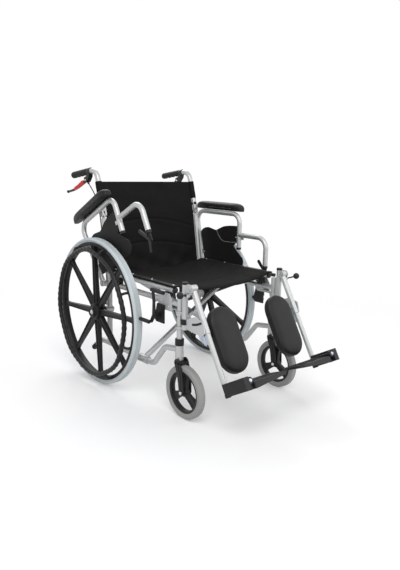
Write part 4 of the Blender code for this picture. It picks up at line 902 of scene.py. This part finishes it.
def cane(side):
    """The upper cane with its hinge straps, and a band on it."""
    y = FRAME_Y
    r = sizes().tube_radius
    start = on_line(HINGE, UPPER_CANE, 0.0135)
    shape = Shape().tube(rounded(xz([start, CANE_BEND, CANE_END], y), 0.045, 14), r)
    for d in (-1, 1):
        shape.strap([HINGE, on_line(HINGE, UPPER_CANE, 0.057)], [0.01, 0.0085], y + d * 0.0036, y + d * 0.0108)
    side.rigid(shape, "cane", "back", "silver", "upper_cane")
    band = Shape().lathe(at(on_line(HINGE, UPPER_CANE, 0.03), y), at(UPPER_CANE),
                         barrel(0.0, 0.012, r + 0.0012, 0.0005, 0.0008))
    side.rigid(band, "cane_band", "back", "rubber", round_by=0.0)


def grip(side):
    """A ribbed rubber grip with finger grooves in its lower side."""
    collar = at_x(CANE_BEND, GRIP_WAY, -0.16)
    end = at_x(CANE_BEND, GRIP_WAY, CANE_END[0] - 0.0065)
    length = (Vector(end) - Vector(collar)).length
    ribs = 72
    steps = [(0.0, 0.0118), (0.0002, 0.014), (0.001, 0.0148), (0.0035, 0.0148), (0.0045, 0.0138)]
    steps += [(0.006 + (length - 0.012) * k / ribs, 0.0142 + 0.0003 * (k % 2)) for k in range(ribs + 1)]
    steps += [(length - 0.004, 0.014), (length - 0.0018, 0.0132), (length - 0.0005, 0.0118), (length, 0.0095)]
    way = at(GRIP_WAY)
    under = way.cross(OUT)
    if under.z > 0.0:
        under.negate()
    rings = []
    for d, radius in steps:
        cut = 0.0
        if 0.005 < d < length - 0.005:
            cut = 0.0014 + 0.0014 * cos(8.0 * pi * (d - 0.006) / (length - 0.012))
        rings.append([at(collar, FRAME_Y) + way * d + (under * c + OUT * n) * (radius - cut * max(0.0, c) ** 2)
                      for c, n in circle(32)])
    side.rigid(Shape().loft(rings), "grip_rubber", "back", "rubber", "grip", round_by=0.0)


def brake(side):
    """The brake's clamp and pin, its lever and the red parking tab."""
    y = FRAME_Y
    way = unit(0.0415, -0.0375)
    stop = on_line(CABLE_START, way, -0.0004)
    shape = Shape().tube(xz([at_x(CANE_BEND, GRIP_WAY, x) for x in (-0.133, -0.1575)], y), 0.0143)
    outline = [(-0.135, 0.868), (-0.157, 0.866), (-0.158, 0.8535), (-0.178, 0.846), (-0.1785, 0.833),
               (-0.169, 0.8265), (-0.156, 0.828), (-0.138, 0.85)]
    for d in (-1, 1):
        shape.plate(outline, y + d * 0.004, y + d * 0.01)
    shape.plate([(-0.135, 0.868), (-0.156, 0.866), (-0.156, 0.83), (-0.138, 0.85)], y - 0.0042, y + 0.0042)
    shape.tube(xz([on_line(stop, way, -0.016), stop], y), 0.0045)
    side.rigid(shape, "brake_mount", "back", "black", "brake_bracket")
    head = [(0.0, 0.0036), (0.0008, 0.0042), (0.0008, 0.003)]
    pin = Shape().lathe(at(LEVER, y - 0.0108), OUT, both_ends(head, 0.0216))
    side.rigid(pin, "brake_pin", "back", "steel", round_by=0.0)
    tip = (-0.337, 0.78)
    line = flowing([LEVER, (-0.2, 0.8215), (-0.255, 0.799), (-0.3, 0.7865), tip], 5)
    widths = [0.0065 - 0.0023 * f for f in shares(len(line) - 1)]
    lever = Shape().strap(line, widths, y - 0.0034, y + 0.0034)
    lever.ball(at(tip, y), 0.0068)
    lever.lathe(at(PARK, y), OUT, [(0.0, 0.002), (0.009, 0.002)], 16)
    side.rigid(lever, "brake_handle", "brake", "black", "brake_lever", round_by=0.0012)
    tab = Shape().strap([(-0.1885, 0.8275), PARK, (-0.23, 0.808), (-0.262, 0.796)],
                        [0.0068, 0.009, 0.008, 0.007], 0.2518, 0.2572)
    side.rigid(tab, "park_tab", "park", "red", "parking_lock", round_by=0.001)


def cable(side):
    """A brake cable that curves down along the cane and past its fold, as one fixed mesh."""
    stops = [CABLE_START, (-0.113, 0.7845), (-0.086, 0.745), (-0.069, 0.702), (-0.0575, 0.65), (-0.042, 0.56),
             (-0.026, 0.47), (-0.019, 0.4), (-0.0185, 0.3364)]
    shape = Shape().tube(flowing(xz(stops, FRAME_Y), 8), 0.0022, sides=12)
    item = dress(shape.made("cable" + side.tag, SLIDE, side.s), "rubber")
    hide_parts("brake_cable" + side.tag)
    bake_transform(item)


class WHEELCHAIR_OT_push_handles(bpy.types.Operator):
    """Upper canes, grips and the brake levers with their cables"""

    bl_idname = "wheelchair.push_handles"
    bl_label = "Push handles"

    def execute(self, context):
        return both_sides(cane, grip, brake, cable)


def hoop(side):
    """The armrest's bent tubes and tabs, its plugs, latch and screws."""
    y = ARM_Y
    place = arm_place(side)
    upper = [ARM_PIVOT, (-0.0545, ARM_TOP), (ARM_FRONT, ARM_TOP), (ARM_FRONT, 0.546)]
    front = [(ARM_FRONT, 0.611), (LATCH[0], 0.611), (LATCH[0], 0.492)]
    shape = Shape().tube(rounded(xz(upper, y), 0.042, 12), ARM_R)
    shape.tube(rounded(xz(front, y), 0.045, 12), ARM_R)
    shape.cross_lathe(ARM_PIVOT, barrel(y - ARM_R - 0.0004, y + ARM_R + 0.0004, 0.0135))
    for x, z in (((-0.024, 0.014), (0.5, 0.52)), ((0.2105, 0.2585), (0.59, 0.606))):
        shape.block(x, (y + 0.0029, y + 0.0062), z)
    side.rigid(shape, "arm_tubes", "arm", "silver", "armrest_frame", place)
    plug = Shape().lathe((LATCH[0], y, 0.0), UP, [
        (0.4835, 0.009), (0.4845, 0.0108), (0.495, 0.011), (0.4955, 0.0106)])
    plug.block((LATCH[0] - 0.0085, LATCH[0] + 0.0085), (0.2725, 0.2785), (LATCH[1] - 0.008, 0.49))
    plug.cross_lathe(LATCH, [(0.2755, 0.003), (0.2852, 0.003), (0.2858, 0.0024)], 16)
    plug.lathe((ARM_FRONT, y, 0.0), UP, [(0.5455, 0.009), (0.5465, 0.0108), (0.556, 0.011)])
    side.rigid(plug, "arm_plugs", "arm", "black", "", place)
    line = [(0.352, 0.508), (0.376, 0.4815), LATCH, (0.3895, 0.438), (0.3838, 0.4165)]
    latch = Shape().strap(line, [0.0075, 0.0062, 0.0078, 0.0052, 0.0045], 0.2792, 0.2838)
    side.rigid(latch, "latch_finger", "latch", "black", "armrest_latch", place, 0.0012)
    spots = [(at(p, y + 0.0062), OUT) for p in ((0.0, 0.51), (0.217, 0.598), (0.247, 0.598))]
    spots += [(at(p, y - 0.0025), -OUT) for p in ((0.006, 0.51), (0.217, 0.598))]
    side.copies("guard_screws", screw_head(), spots, "arm", "steel", place)


def arm_pad(side):
    """A crowned pad with drawn-in sides, a sewn edge and a soft dip where the arm lies."""
    x0, y, base = -0.062, 0.2905, ARM_TOP + ARM_R + 0.0004
    length, tail, nose = 0.296, 0.105, 0.05
    half, tall = 0.0248, 0.035
    edge = [(0.93, 0.0), (0.99, 0.1), (1.0, 0.3), (0.965, 0.36), (1.0, 0.42), (0.99, 0.62), (0.93, 0.8),
            (0.78, 0.92), (0.5, 0.985), (0.2, 1.0)]
    outline = [(-a, h) for a, h in edge] + edge[::-1]

    def fullness(d, behind):
        end = min(d / behind, (length - d) / nose, 1.0)
        return sqrt(1.0 - (1.0 - end) ** 2)

    rings = []
    for f in shares(60):
        d = length * 0.5 * (1.0 - cos(pi * f))
        wide = half * (0.34 + 0.66 * fullness(d, tail))
        high = tall * (0.42 + 0.58 * fullness(d, 0.045)) - 0.0016 * sin(pi * f) ** 2
        rings.append([Vector((x0 + d, y + a * wide, base + h * high)) for a, h in outline])
    place = arm_place(side)
    side.cushion(Shape().loft(rings), "arm_cushion", "arm", "arm_pad", y,
                 lambda p: p.z < base + 0.44 * tall, place, 55.0, 0.85)
    stitch = Shape().lathe((0.0, 0.0, -0.0013), UP, barrel(0.0, 0.0026, 0.0005, 0.0006, 0.0003), 6)
    spots = []
    for f in shares(39):
        x = x0 + tail + (length - tail - nose) * f
        spots += [(Vector((x, y + d * half * 0.972, base + tall * 0.36)), AHEAD) for d in (-1, 1)]
    side.copies("arm_stitches", stitch.made("stitch", STILL), spots, "arm", "piping", place)


def guard(side):
    """A panel with a round lower corner and a waved top, its pocket's edge piped in grey."""
    place = arm_place(side)
    low, corner = 0.4545, 0.036
    outline = [(0.012, low)]
    for f in shares(24):
        a = radians(-90.0 + 125.0 * f)
        outline.append((0.2275 + corner * cos(a), low + corner + corner * sin(a)))
    notch = flowing([outline[-1], (0.205, 0.553), (0.2085, 0.565), (0.2225, 0.576)], 4)
    wave = flowing([(0.2225, 0.649), (0.17, 0.646), (0.135, 0.64), (0.105, 0.628), (0.082, 0.619),
                    (0.055, 0.623), (0.026, 0.627), (-0.005, 0.618), (-0.0195, 0.602)], 5)
    shape = Shape().plate(outline + notch[1:] + wave, ARM_Y - 0.0025, ARM_Y + 0.0025)
    side.rigid(shape, "guard_panel", "arm", "guard", "skirt_guard", place, 0.0009)
    edge = [(0.088, 0.619), (0.103, 0.599), (0.12, 0.581), (0.138, 0.5735), (0.18, 0.5735), (0.2225, 0.575)]
    pipe = Shape().tube(flowing(xz(edge, ARM_Y - 0.0026), 5), 0.001, sides=10)
    side.rigid(pipe, "guard_piping", "arm", "piping", "", place, 0.0)


class WHEELCHAIR_OT_armrests(bpy.types.Operator):
    """Armrest frames, pads, guards and latches"""

    bl_idname = "wheelchair.armrests"
    bl_label = "Armrests"

    def execute(self, context):
        return both_sides(hoop, arm_pad, guard)


def wheel_lock(side):
    """A lever with its shoe at the tyre and a ribbed handle."""
    foot = (0.359, 0.34)
    shape = Shape().strap([foot, LOCK, (0.373, 0.415), (0.3665, 0.46)], [0.0065, 0.0088, 0.006, 0.0066],
                          0.288, 0.2935)
    shape.cross_lathe(foot, [(0.29, 0.006), (0.305, 0.006)])
    shape.lathe((WHEEL_R + 0.001, 0.305, foot[1]), AHEAD, barrel(0.0, 0.059, 0.0075, 0.0015))
    steps = [(0.0, 0.006), (0.0015, 0.0072)]
    for k in range(10):
        steps += [(0.006 + 0.0062 * k, 0.0066), (0.0085 + 0.0062 * k, 0.0075)]
    shape.lathe((0.36, 0.294, 0.46), AHEAD, steps + [(0.0745, 0.0075), (0.076, 0.0058)])
    side.rigid(shape, "lock_handle", "lock", "black", "wheel_lock_lever")


class WHEELCHAIR_OT_wheel_locks(bpy.types.Operator):
    """Wheel lock levers with their shoes and handles"""

    bl_idname = "wheelchair.wheel_locks"
    bl_label = "Wheel locks"

    def execute(self, context):
        return both_sides(wheel_lock)


def hanger(side):
    """The legrest's upright with its plates and clamps, a black strip of painted shade for its slot, and the
    release lever.
    """
    x, y = 0.499, FRAME_Y
    r = sizes().tube_radius
    faces = (y - 0.0008, y + 0.0042)
    shape = Shape().lathe((x, y, 0.0), UP, [(0.332, r - 0.001), (0.333, r), (0.4965, r)])
    shape.plate([(x, 0.445), (0.515, 0.452), (0.541, 0.474), (0.5435, 0.488), (0.536, 0.4995), (x, 0.499)], *faces)
    shape.plate([(x, 0.34), (0.553, 0.333), (0.596, 0.33), (0.611, 0.345), (0.6, 0.382), (0.56, 0.392),
                 (0.535, 0.384), (x, 0.366)], *faces)
    shape.cross_lathe(KNEE, [(0.2222, 0.004), (0.25, 0.004), (0.25, 0.0075), (0.254, 0.0075), (0.255, 0.006)])
    for z in (0.3335, 0.39):
        shape.lathe((FRONT_X, y, z), UP, [(0.0, r + 0.0006), (0.0, 0.017), (0.006, 0.017), (0.006, r + 0.0006)],
                    36, closed=True)
        shape.block((FRONT_X + 0.014, x), (y - 0.0085, y + 0.0085), (z, z + 0.006))
    for x0 in (0.5115, 0.5275):
        shape.block((x0, x0 + 0.003), (0.2505, 0.266), (0.4565, 0.4675))
    side.rigid(shape, "hanger_frame", "hanger", "silver", "legrest_hanger")
    # The slot is not cut through the plate. A thin black strip along its arc is painted shade that stands for the
    # dark opening.
    turns = [radians(a) for a in range(8, 30, 3)]
    slot = [(KNEE[0] + 0.126 * sin(a), KNEE[1] - 0.126 * cos(a)) for a in turns]
    dark = Shape().strap(slot, [0.0042] * len(slot), y + 0.004, y + 0.0046)
    dark.lathe((x, y, 0.0), UP, [(0.4965, 0.0115), (0.4975, 0.0119), (0.5035, 0.0119), (0.505, 0.01)])
    dark.lathe((x, y, 0.0), UP, barrel(0.352, 0.372, 0.0145))
    side.rigid(dark, "hanger_caps", "hanger", "black", round_by=0.0003)
    spots = [(at(p, y + 0.0042), OUT) for p in ((0.52, 0.352), (0.52, 0.368), (0.522, 0.472))]
    side.copies("hanger_screws", screw_head(0.0044, 0.0026), spots, "hanger", "zinc")
    root, knob = Vector((0.52, 0.261, 0.462)), Vector((0.541, 0.305, 0.472))
    lever = Shape().lathe((0.515, root.y, root.z), AHEAD, barrel(0.0, 0.012, 0.005, 0.001, 0.0008))
    lever.tube([root, knob], 0.003, sides=14)
    lever.ball(knob, 0.0125, 28)
    side.rigid(lever, "release_knob", "release", "black", "release_lever", round_by=0.0)


def leg(side):
    """The leg's tubes, the channel that carries plate and pad, its bolts and the plate's block."""
    place = leg_place()
    y = LEG_Y
    r = sizes().tube_radius
    knee = at((KNEE[0] - 0.006, KNEE[1]), y)
    shape = Shape().lathe(knee, -UP, [(-0.004, r), (0.165, r)])
    shape.cross_lathe(KNEE, barrel(y - r, y + r, 0.0115))
    shape.lathe(knee, -UP, [(0.1656, 0.0095), (0.378, 0.0095)])
    side.rigid(shape, "leg_tubes", "leg", "silver", "leg_tube", place)
    zed = Shape().leg_block((-0.0265, -0.0177), (0.232, 0.2465), (0.125, 0.2))
    zed.leg_block((-0.0265, -0.005), (0.23, 0.243), (0.168, 0.2))
    for t in (0.139, 0.1705):
        zed.leg_block((-0.024, -0.0178), (0.214, 0.234), (t, t + 0.006))
        zed.leg_block((-0.0225, -0.0155), (0.2142, 0.2225), (t + 0.0002, t + 0.0058))
    zed.lathe((KNEE[0] - 0.019, 0.2175, KNEE[1]), -UP, [(0.1395, 0.0025), (0.176, 0.0025)])
    hinge = Vector((KNEE[0], PLATE_HINGE_Y, KNEE[1] - PLATE_T))
    zed.lathe(hinge - AHEAD * 0.002, AHEAD, [(0.0, 0.0025), (0.1065, 0.0025)])
    sector = [(-0.018, 0.128), (-0.02, 0.126), (-0.043, 0.15), (-0.043, 0.178), (-0.02, 0.204), (-0.018, 0.204)]
    zed.plate([(KNEE[0] + a, KNEE[1] - t) for a, t in sector], 0.2425, 0.246)
    side.rigid(zed, "leg_channel", "leg", "zinc", "leg_slide", place)
    spots = [(at((KNEE[0] - 0.034, KNEE[1] - t), 0.246), OUT) for t in (0.152, 0.177)]
    spots.append((hinge + AHEAD * 0.1045, AHEAD))
    side.copies("leg_bolts", bolt_head(0.0046, 0.003), spots, "leg", "zinc", place)
    block = Shape().leg_block((-0.006, 0.10645), (0.2255, 0.2475), (PLATE_T - 0.015, PLATE_T + 0.03))
    for a, radius in ((-0.002, 0.0066), (0.0945, 0.0125)):
        block.lathe(hinge + AHEAD * a, AHEAD, barrel(0.0, 0.01, radius, 0.0008))
        block.leg_block((a, a + 0.01), (hinge.y, 0.2265), (PLATE_T - 0.006, PLATE_T + 0.006))
    block.lathe(knee, -UP, [(0.378, 0.0095), (0.378, 0.0108), (0.3895, 0.0108), (0.391, 0.009)])
    side.rigid(block, "foot_block", "leg", "black", "", place, 0.003)


def foot(side):
    """A ribbed plate that slopes down to the toe and grows thicker towards its hinge."""
    z = KNEE[1] - PLATE_T
    heel, toe, inner, notch = PLATE_HEEL, PLATE_TOE, 0.035, 0.205
    corners = ((heel, PLATE_HINGE_Y, 0.0), (toe - 0.0115, PLATE_HINGE_Y, 0.0), (toe - 0.0115, notch, 0.0),
               (toe, notch, 0.008), (toe, inner, 0.028), (heel, inner, 0.022))

    def top(a):
        return z + 0.0042 - 0.12 * (a - heel)

    outline = []
    for i, (a, y, r) in enumerate(corners):
        here = Vector((a, y))
        before, after = (here + (Vector(corners[j % 6][:2]) - here).normalized() * r for j in (i - 1, i + 1))
        outline += [before.lerp(here, f).lerp(here.lerp(after, f), f) for f in (shares(9) if r else (0.0,))]
    upper = [Vector((KNEE[0] + p.x, p.y, top(p.x))) for p in outline]
    lower = [p - UP * (0.0092 + 0.016 * (p.y - inner) / (PLATE_HINGE_Y - inner)) for p in upper]
    shape = Shape().loft([lower, upper])
    shape.lathe((KNEE[0] + heel - 0.0015, PLATE_HINGE_Y, z), AHEAD, [(0.0, 0.0064), (0.0855, 0.0064)])
    section = ((-0.0018, -0.0012), (0.0018, -0.0012), (0.0012, 0.0008), (-0.0012, 0.0008))
    for f in shares(sizes().plate_ribs - 1):
        y = 0.058 + 0.138 * f
        shape.loft([[Vector((KNEE[0] + a, y + d, top(a) + h)) for d, h in section]
                    for a in (heel + 0.007, toe - 0.011)])
    side.rigid(shape, "plate", "foot", "black", "footplate", leg_place())


def calf(side):
    """The calf pad's bracket, and its rounded cushion with a slightly crowned face."""
    place = leg_place()
    arm = Shape().lathe((KNEE[0] - 0.019, 0.2175, KNEE[1]), -UP, barrel(0.1455, 0.17, 0.005, 0.0005))
    arm.leg_block((-0.0315, -0.019), (0.2124, 0.217), (0.146, 0.1695))
    arm.leg_block((-0.0315, -0.028), (0.19, 0.216), (0.1462, 0.1693))
    arm.leg_block((-0.0317, -0.028), (0.13, 0.192), (0.138, 0.178))
    side.rigid(arm, "calf_bracket", "calf", "zinc", "calf_arm", place)
    middle, wide = 0.1487, 0.0625
    straight = 0.1225 - wide
    levels = ((-0.0276, 0.006), (-0.0268, 0.0024), (-0.0245, 0.0006), (-0.0215, 0.0), (-0.013, 0.0),
              (-0.0112, 0.0012), (-0.0094, 0.0), (-0.004, 0.0008), (0.0, 0.0034), (0.003, 0.0082),
              (0.005, 0.015), (0.0064, 0.024))
    rings = []
    for level, inset in levels:
        q = wide - inset
        half = [(q, straight * (k / 6.0 - 1.0)) for k in range(12)]
        half += [(q * cos(pi * k / 16.0), straight + q * sin(pi * k / 16.0)) for k in range(16)]
        rings.append([Vector((KNEE[0] + level, middle + turn * across, KNEE[1] - PAD_T + turn * up))
                      for turn in (1.0, -1.0) for across, up in half])
    shape = Shape().loft(rings)
    shape.bm.faces.ensure_lookup_table()
    shape.bm.faces.remove(shape.bm.faces[-1])
    rows = []
    for k in range(-8, 21):
        one, two = rings[-1][k], rings[-1][40 - k]
        crown = AHEAD * (0.0016 * (one - two).length / (2.0 * q))
        rows.append([shape.bm.verts.new(one.lerp(two, f) + crown * (1.0 - (2.0 * f - 1.0) ** 2))
                     for f in shares(6)])
    shape.grid(rows)
    side.cushion(shape, "calf_cushion", "calf", "calf_pad", middle,
                 lambda p: p.x < KNEE[0] - 0.009, place, 60.0, 0.8)


class WHEELCHAIR_OT_legrests(bpy.types.Operator):
    """Legrest hangers, leg tubes, footplates and calf pads"""

    bl_idname = "wheelchair.legrests"
    bl_label = "Legrests"

    def execute(self, context):
        return both_sides(hanger, leg, foot, calf)


def on_cane(z):
    """The cane's side view point at a height."""
    way = LOWER_CANE if z < HINGE[1] else UPPER_CANE
    return (HINGE[0] + (z - HINGE[1]) * way[0] / way[1], z)


def dent(value, centre, width):
    """One at a seam's centre, falling to nothing at its width."""
    return exp(-((value - centre) / width) ** 2)


def cloth_sheet(name, rows, through):
    """A closed sheet between the rows of points and the same rows moved through it."""
    shape = Shape()
    borders = []
    for shift in (Vector(), through):
        grid = [[shape.bm.verts.new(p + shift) for p in row] for row in rows]
        shape.grid(grid)
        borders.append(grid[0] + [row[-1] for row in grid[1:]] + grid[-1][-2::-1]
                       + [row[0] for row in grid[-2::-1]])
    shape.grid(borders)
    return dress(shape.made(name), "sling", 60.0)


def seat():
    """The seat's sling with two seams and soft folds, and its strips with their screws."""
    r = sizes().tube_radius
    depth = sizes().seam_depth
    half = FRAME_Y + r + 0.0015
    inside = FRAME_Y - r
    rest = SEAT_Z + r + 0.0006
    first, last = 0.02, 0.45
    edge = [-half + 0.004 * k for k in range(5)]
    across = edge + [-inside * cos(pi * f) for f in shares(56)] + [-y for y in reversed(edge)]
    rows = []
    for share in shares(96):
        x = first + (last - first) * share
        row = []
        for y in across:
            sag = max(0.0, 1.0 - (y / inside) ** 2)
            curve = -1.78 * max(0.0, abs(y) - 0.06) ** 2
            belly = 0.026 * sag * (0.82 + 0.18 * sin(pi * share))
            seams = sum(dent(x, c + curve, 0.003) for c in (0.184, 0.33))
            folds = 0.0009 * sag * sin(70.0 * y + 26.0 * x) * sin(31.0 * x - 12.0 * y)
            rear = dent(x, first, 0.075)
            folds += 0.0022 * min(1.0, sag * 2.0) * rear * sin(38.0 * y + 61.0 * x + 0.8)
            drawn = depth * seams * min(1.0, sag * 4.0)
            drawn += 0.008 * min(1.0, sag * 3.0) * max(0.0, (x - 0.43) / 0.02) ** 2
            row.append(Vector((x, y, rest - belly - drawn + folds)))
        rows.append(row)
    item = cloth_sheet("seat_sling", rows, UP * 0.0044)
    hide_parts("seat")
    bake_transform(item)
    for side in (Side("a", 1), Side("b", -1)):
        strip = Shape().block((first + 0.004, last - 0.004), (FRAME_Y - 0.009, FRAME_Y + 0.01),
                              (rest + 0.0043, rest + 0.0058))
        side.rigid(strip, "seat_strip_cross", "cross", "strip")
        spots = [(Vector((x, FRAME_Y, rest + 0.0056)), UP) for x in (0.053, 0.175, 0.302, 0.433)]
        side.copies("seat_screws_cross", screw_head(0.0042, 0.0024), spots, "cross", "steel")


def back():
    """The back's sling as two sheets that meet at the hinges, and its sleeves on the canes."""
    r = sizes().tube_radius
    depth = sizes().seam_depth
    half = FRAME_Y - r - 0.003
    top, hem, split = SLING_TOP, SLING_HEM, HINGE[1]
    for name, body, low, high in (("back_lower", "frame_right", hem, split + 0.004),
                                  ("back_upper", "back_right", split - 0.004, top)):
        rows = []
        for rise in shares(60):
            row = []
            for f in shares(64):
                v = -cos(pi * f)
                y = half * v
                across = 1.0 - v * v
                edge = hem - 0.008 * across
                start = edge if low == hem else low
                z = start + (high - start) * rise
                belly = 0.02 * across * (0.6 + 0.4 * sin(pi * (z - edge) / (top - edge)))
                seams = dent(z, 0.672 - 0.035 * v * v - 0.01 * v, 0.0034)
                seams += dent(z, 0.571 - 0.027 * v * v - 0.01 * v, 0.0034)
                folds = 0.0016 * across * sin(34.0 * y + 55.0 * z) * sin(23.0 * z - 19.0 * y)
                slack = min(1.0, across * 2.5) * dent(z, edge, 0.07)
                folds += 0.0052 * slack * sin(33.0 * y + 62.0 * z + 1.1)
                folds += 0.0026 * slack * sin(71.0 * y - 56.0 * z)
                x = on_cane(z)[0] - 0.0022 - belly - depth * seams * min(1.0, across * 4.0) + folds
                row.append(Vector((x, y, z)))
            rows.append(row)
        item = cloth_sheet(name, rows, AHEAD * 0.0042)
        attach(item, body)
        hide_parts("back")
        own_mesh(item)
    start, end = (at(on_cane(z), FRAME_Y) for z in (0.757, top))
    bore, outer = r + 0.0006, r + 0.0028
    profile = [(0.0, bore), (0.0, outer), (0.25, outer + 0.0004), (0.5, outer), (0.75, outer + 0.0004),
               (1.0, outer), (1.0, bore)]
    steps = [((end - start).length * f, q) for f, q in profile]
    for side in SIDES:
        sleeve = Shape().lathe(start, at(UPPER_CANE), steps, closed=True)
        side.rigid(sleeve, "back_sleeve", "back", "sling", round_by=0.0008)


class WHEELCHAIR_OT_slings(bpy.types.Operator):
    """Seat and back slings with their seams, folds and screws"""

    bl_idname = "wheelchair.slings"
    bl_label = "Slings"

    def execute(self, context):
        seat()
        back()
        return {"FINISHED"}


FLOOR_LIFT = 0.22
FADE_START, FADE_SLOPE = 0.9, 0.8
LAMPS = (("key", (1.6, -1.4, 2.6), 42.0, 1.8), ("fill", (2.4, 1.6, 1.8), 20.0, 2.0),
         ("rim", (-2.0, 0.8, 2.4), 30.0, 1.6))
LAMPS_AIM = Vector((0.0, 0.0, 0.4))


def seen(tree):
    """One for camera, mirror and glass rays, which meet the white backdrop."""
    rays = node(tree, "ShaderNodeLightPath").outputs
    share = maths(tree, "ADD", rays["Is Camera Ray"], rays["Is Glossy Ray"], clamp=True)
    return maths(tree, "ADD", share, rays["Is Transmission Ray"], clamp=True)


def floor():
    """A floor that keeps the chair's shadow and fades to white further out."""
    bm = bmesh.new()
    bmesh.ops.create_grid(bm, x_segments=1, y_segments=1, size=30.0)
    mesh = bpy.data.meshes.new("floor")
    bm.to_mesh(mesh)
    bm.free()
    item = linked("floor", mesh)
    material = bpy.data.materials.new("white floor")
    material.use_nodes = True
    tree = material.node_tree
    shader = tree.nodes["Principled BSDF"]
    shader.inputs["Base Color"].default_value = (0.80, 0.80, 0.80, 1.0)
    shader.inputs["Roughness"].default_value = 0.8
    direct = seen(tree)
    lift = node(tree, "ShaderNodeEmission", {"Strength": maths(tree, "MULTIPLY", direct, FLOOR_LIFT)})
    near = node(tree, "ShaderNodeAddShader", {0: shader.outputs[0], 1: lift.outputs[0]})
    place = node(tree, "ShaderNodeTexCoord").outputs["Object"]
    reach = node(tree, "ShaderNodeVectorMath", {0: place}, operation="LENGTH").outputs["Value"]
    fade = maths(tree, "MULTIPLY", maths(tree, "SUBTRACT", reach, FADE_START), FADE_SLOPE, clamp=True)
    white = node(tree, "ShaderNodeEmission")
    mix = node(tree, "ShaderNodeMixShader", {
        0: maths(tree, "MULTIPLY", fade, direct), 1: near.outputs[0], 2: white.outputs[0]})
    tree.links.new(mix.outputs[0], tree.nodes["Material Output"].inputs["Surface"])
    mesh.materials.append(material)


def lights():
    """A soft world behind a white backdrop, and three broad lamps."""
    world = bpy.data.worlds.new("soft room")
    world.use_nodes = True
    tree = world.node_tree
    sky = tree.nodes["Background"]
    sky.inputs["Color"].default_value = (0.95, 0.96, 0.98, 1.0)
    sky.inputs["Strength"].default_value = 0.55
    backdrop = node(tree, "ShaderNodeBackground", {"Color": (1.0, 1.0, 1.0, 1.0)})
    mix = node(tree, "ShaderNodeMixShader", {0: seen(tree), 1: sky.outputs[0], 2: backdrop.outputs[0]})
    tree.links.new(mix.outputs[0], tree.nodes["World Output"].inputs["Surface"])
    bpy.context.scene.world = world
    for name, spot, power, wide in LAMPS:
        lamp = bpy.data.lights.new(name, "AREA")
        lamp.energy = power
        lamp.size = wide
        item = linked(name, lamp)
        item.location = spot
        item.rotation_mode = "QUATERNION"
        item.rotation_quaternion = (LAMPS_AIM - Vector(spot)).to_track_quat("-Z", "Y")


def camera():
    """The camera that was fitted to the photograph."""
    spot = SLIDE @ Vector((1.94162, -1.44059, 0.88982))
    yaw = 2.42335
    pitch = -0.20766
    roll = 0.02177
    focal_pixels = 548.06
    tall_pixels = 570.0
    ahead = Vector((cos(yaw) * cos(pitch), sin(yaw) * cos(pitch), sin(pitch)))
    right = ahead.cross(UP).normalized()
    up = right.cross(ahead)
    level = right * cos(roll) + up * sin(roll)
    upright = up * cos(roll) - right * sin(roll)
    data = bpy.data.cameras.new("camera")
    data.sensor_width = 36.0
    data.lens = focal_pixels / tall_pixels * data.sensor_width
    item = linked("camera", data)
    item.matrix_world = Matrix.Translation(spot) @ Matrix((level, upright, -ahead)).transposed().to_4x4()
    bpy.context.scene.camera = item


class WHEELCHAIR_OT_stage(bpy.types.Operator):
    """Floor, lights and the camera at the photograph's place"""

    bl_idname = "wheelchair.stage"
    bl_label = "Stage"

    def execute(self, context):
        floor()
        lights()
        camera()
        context.scene.view_settings.view_transform = "Standard"
        return {"FINISHED"}


class WHEELCHAIR_PT_panel(bpy.types.Panel):
    """The chair's pieces, one button for each group"""

    bl_idname = "WHEELCHAIR_PT_panel"
    bl_label = "Wheelchair"
    bl_space_type = "VIEW_3D"
    bl_region_type = "UI"
    bl_category = "Wheelchair"

    def draw(self, context):
        layout = self.layout
        for group_name in ("wheelchair_sizes", "wheelchair_colours"):
            settings = getattr(context.scene, group_name)
            for key in settings.bl_rna.properties.keys():
                if key not in ("rna_type", "name"):
                    layout.prop(settings, key)
        for operator in OPERATORS:
            layout.operator(operator.bl_idname)


OPERATORS = (
    WHEELCHAIR_OT_stage,
    WHEELCHAIR_OT_rear_wheels,
    WHEELCHAIR_OT_casters,
    WHEELCHAIR_OT_side_frames,
    WHEELCHAIR_OT_cross_brace,
    WHEELCHAIR_OT_push_handles,
    WHEELCHAIR_OT_armrests,
    WHEELCHAIR_OT_wheel_locks,
    WHEELCHAIR_OT_legrests,
    WHEELCHAIR_OT_slings,
)
CLASSES = (WheelchairSizes, WheelchairColours, WHEELCHAIR_PT_panel, *OPERATORS)


def register():
    for item in CLASSES:
        bpy.utils.register_class(item)
    bpy.types.Scene.wheelchair_sizes = bpy.props.PointerProperty(type=WheelchairSizes)
    bpy.types.Scene.wheelchair_colours = bpy.props.PointerProperty(type=WheelchairColours)


def unregister():
    del bpy.types.Scene.wheelchair_colours
    del bpy.types.Scene.wheelchair_sizes
    for item in reversed(CLASSES):
        bpy.utils.unregister_class(item)


def main():
    register()
    bpy.ops.wheelchair.stage()
    bpy.ops.wheelchair.rear_wheels()
    bpy.ops.wheelchair.casters()
    bpy.ops.wheelchair.side_frames()
    bpy.ops.wheelchair.cross_brace()
    bpy.ops.wheelchair.push_handles()
    bpy.ops.wheelchair.armrests()
    bpy.ops.wheelchair.wheel_locks()
    bpy.ops.wheelchair.legrests()
    bpy.ops.wheelchair.slings()


if __name__ == "__main__":
    main()
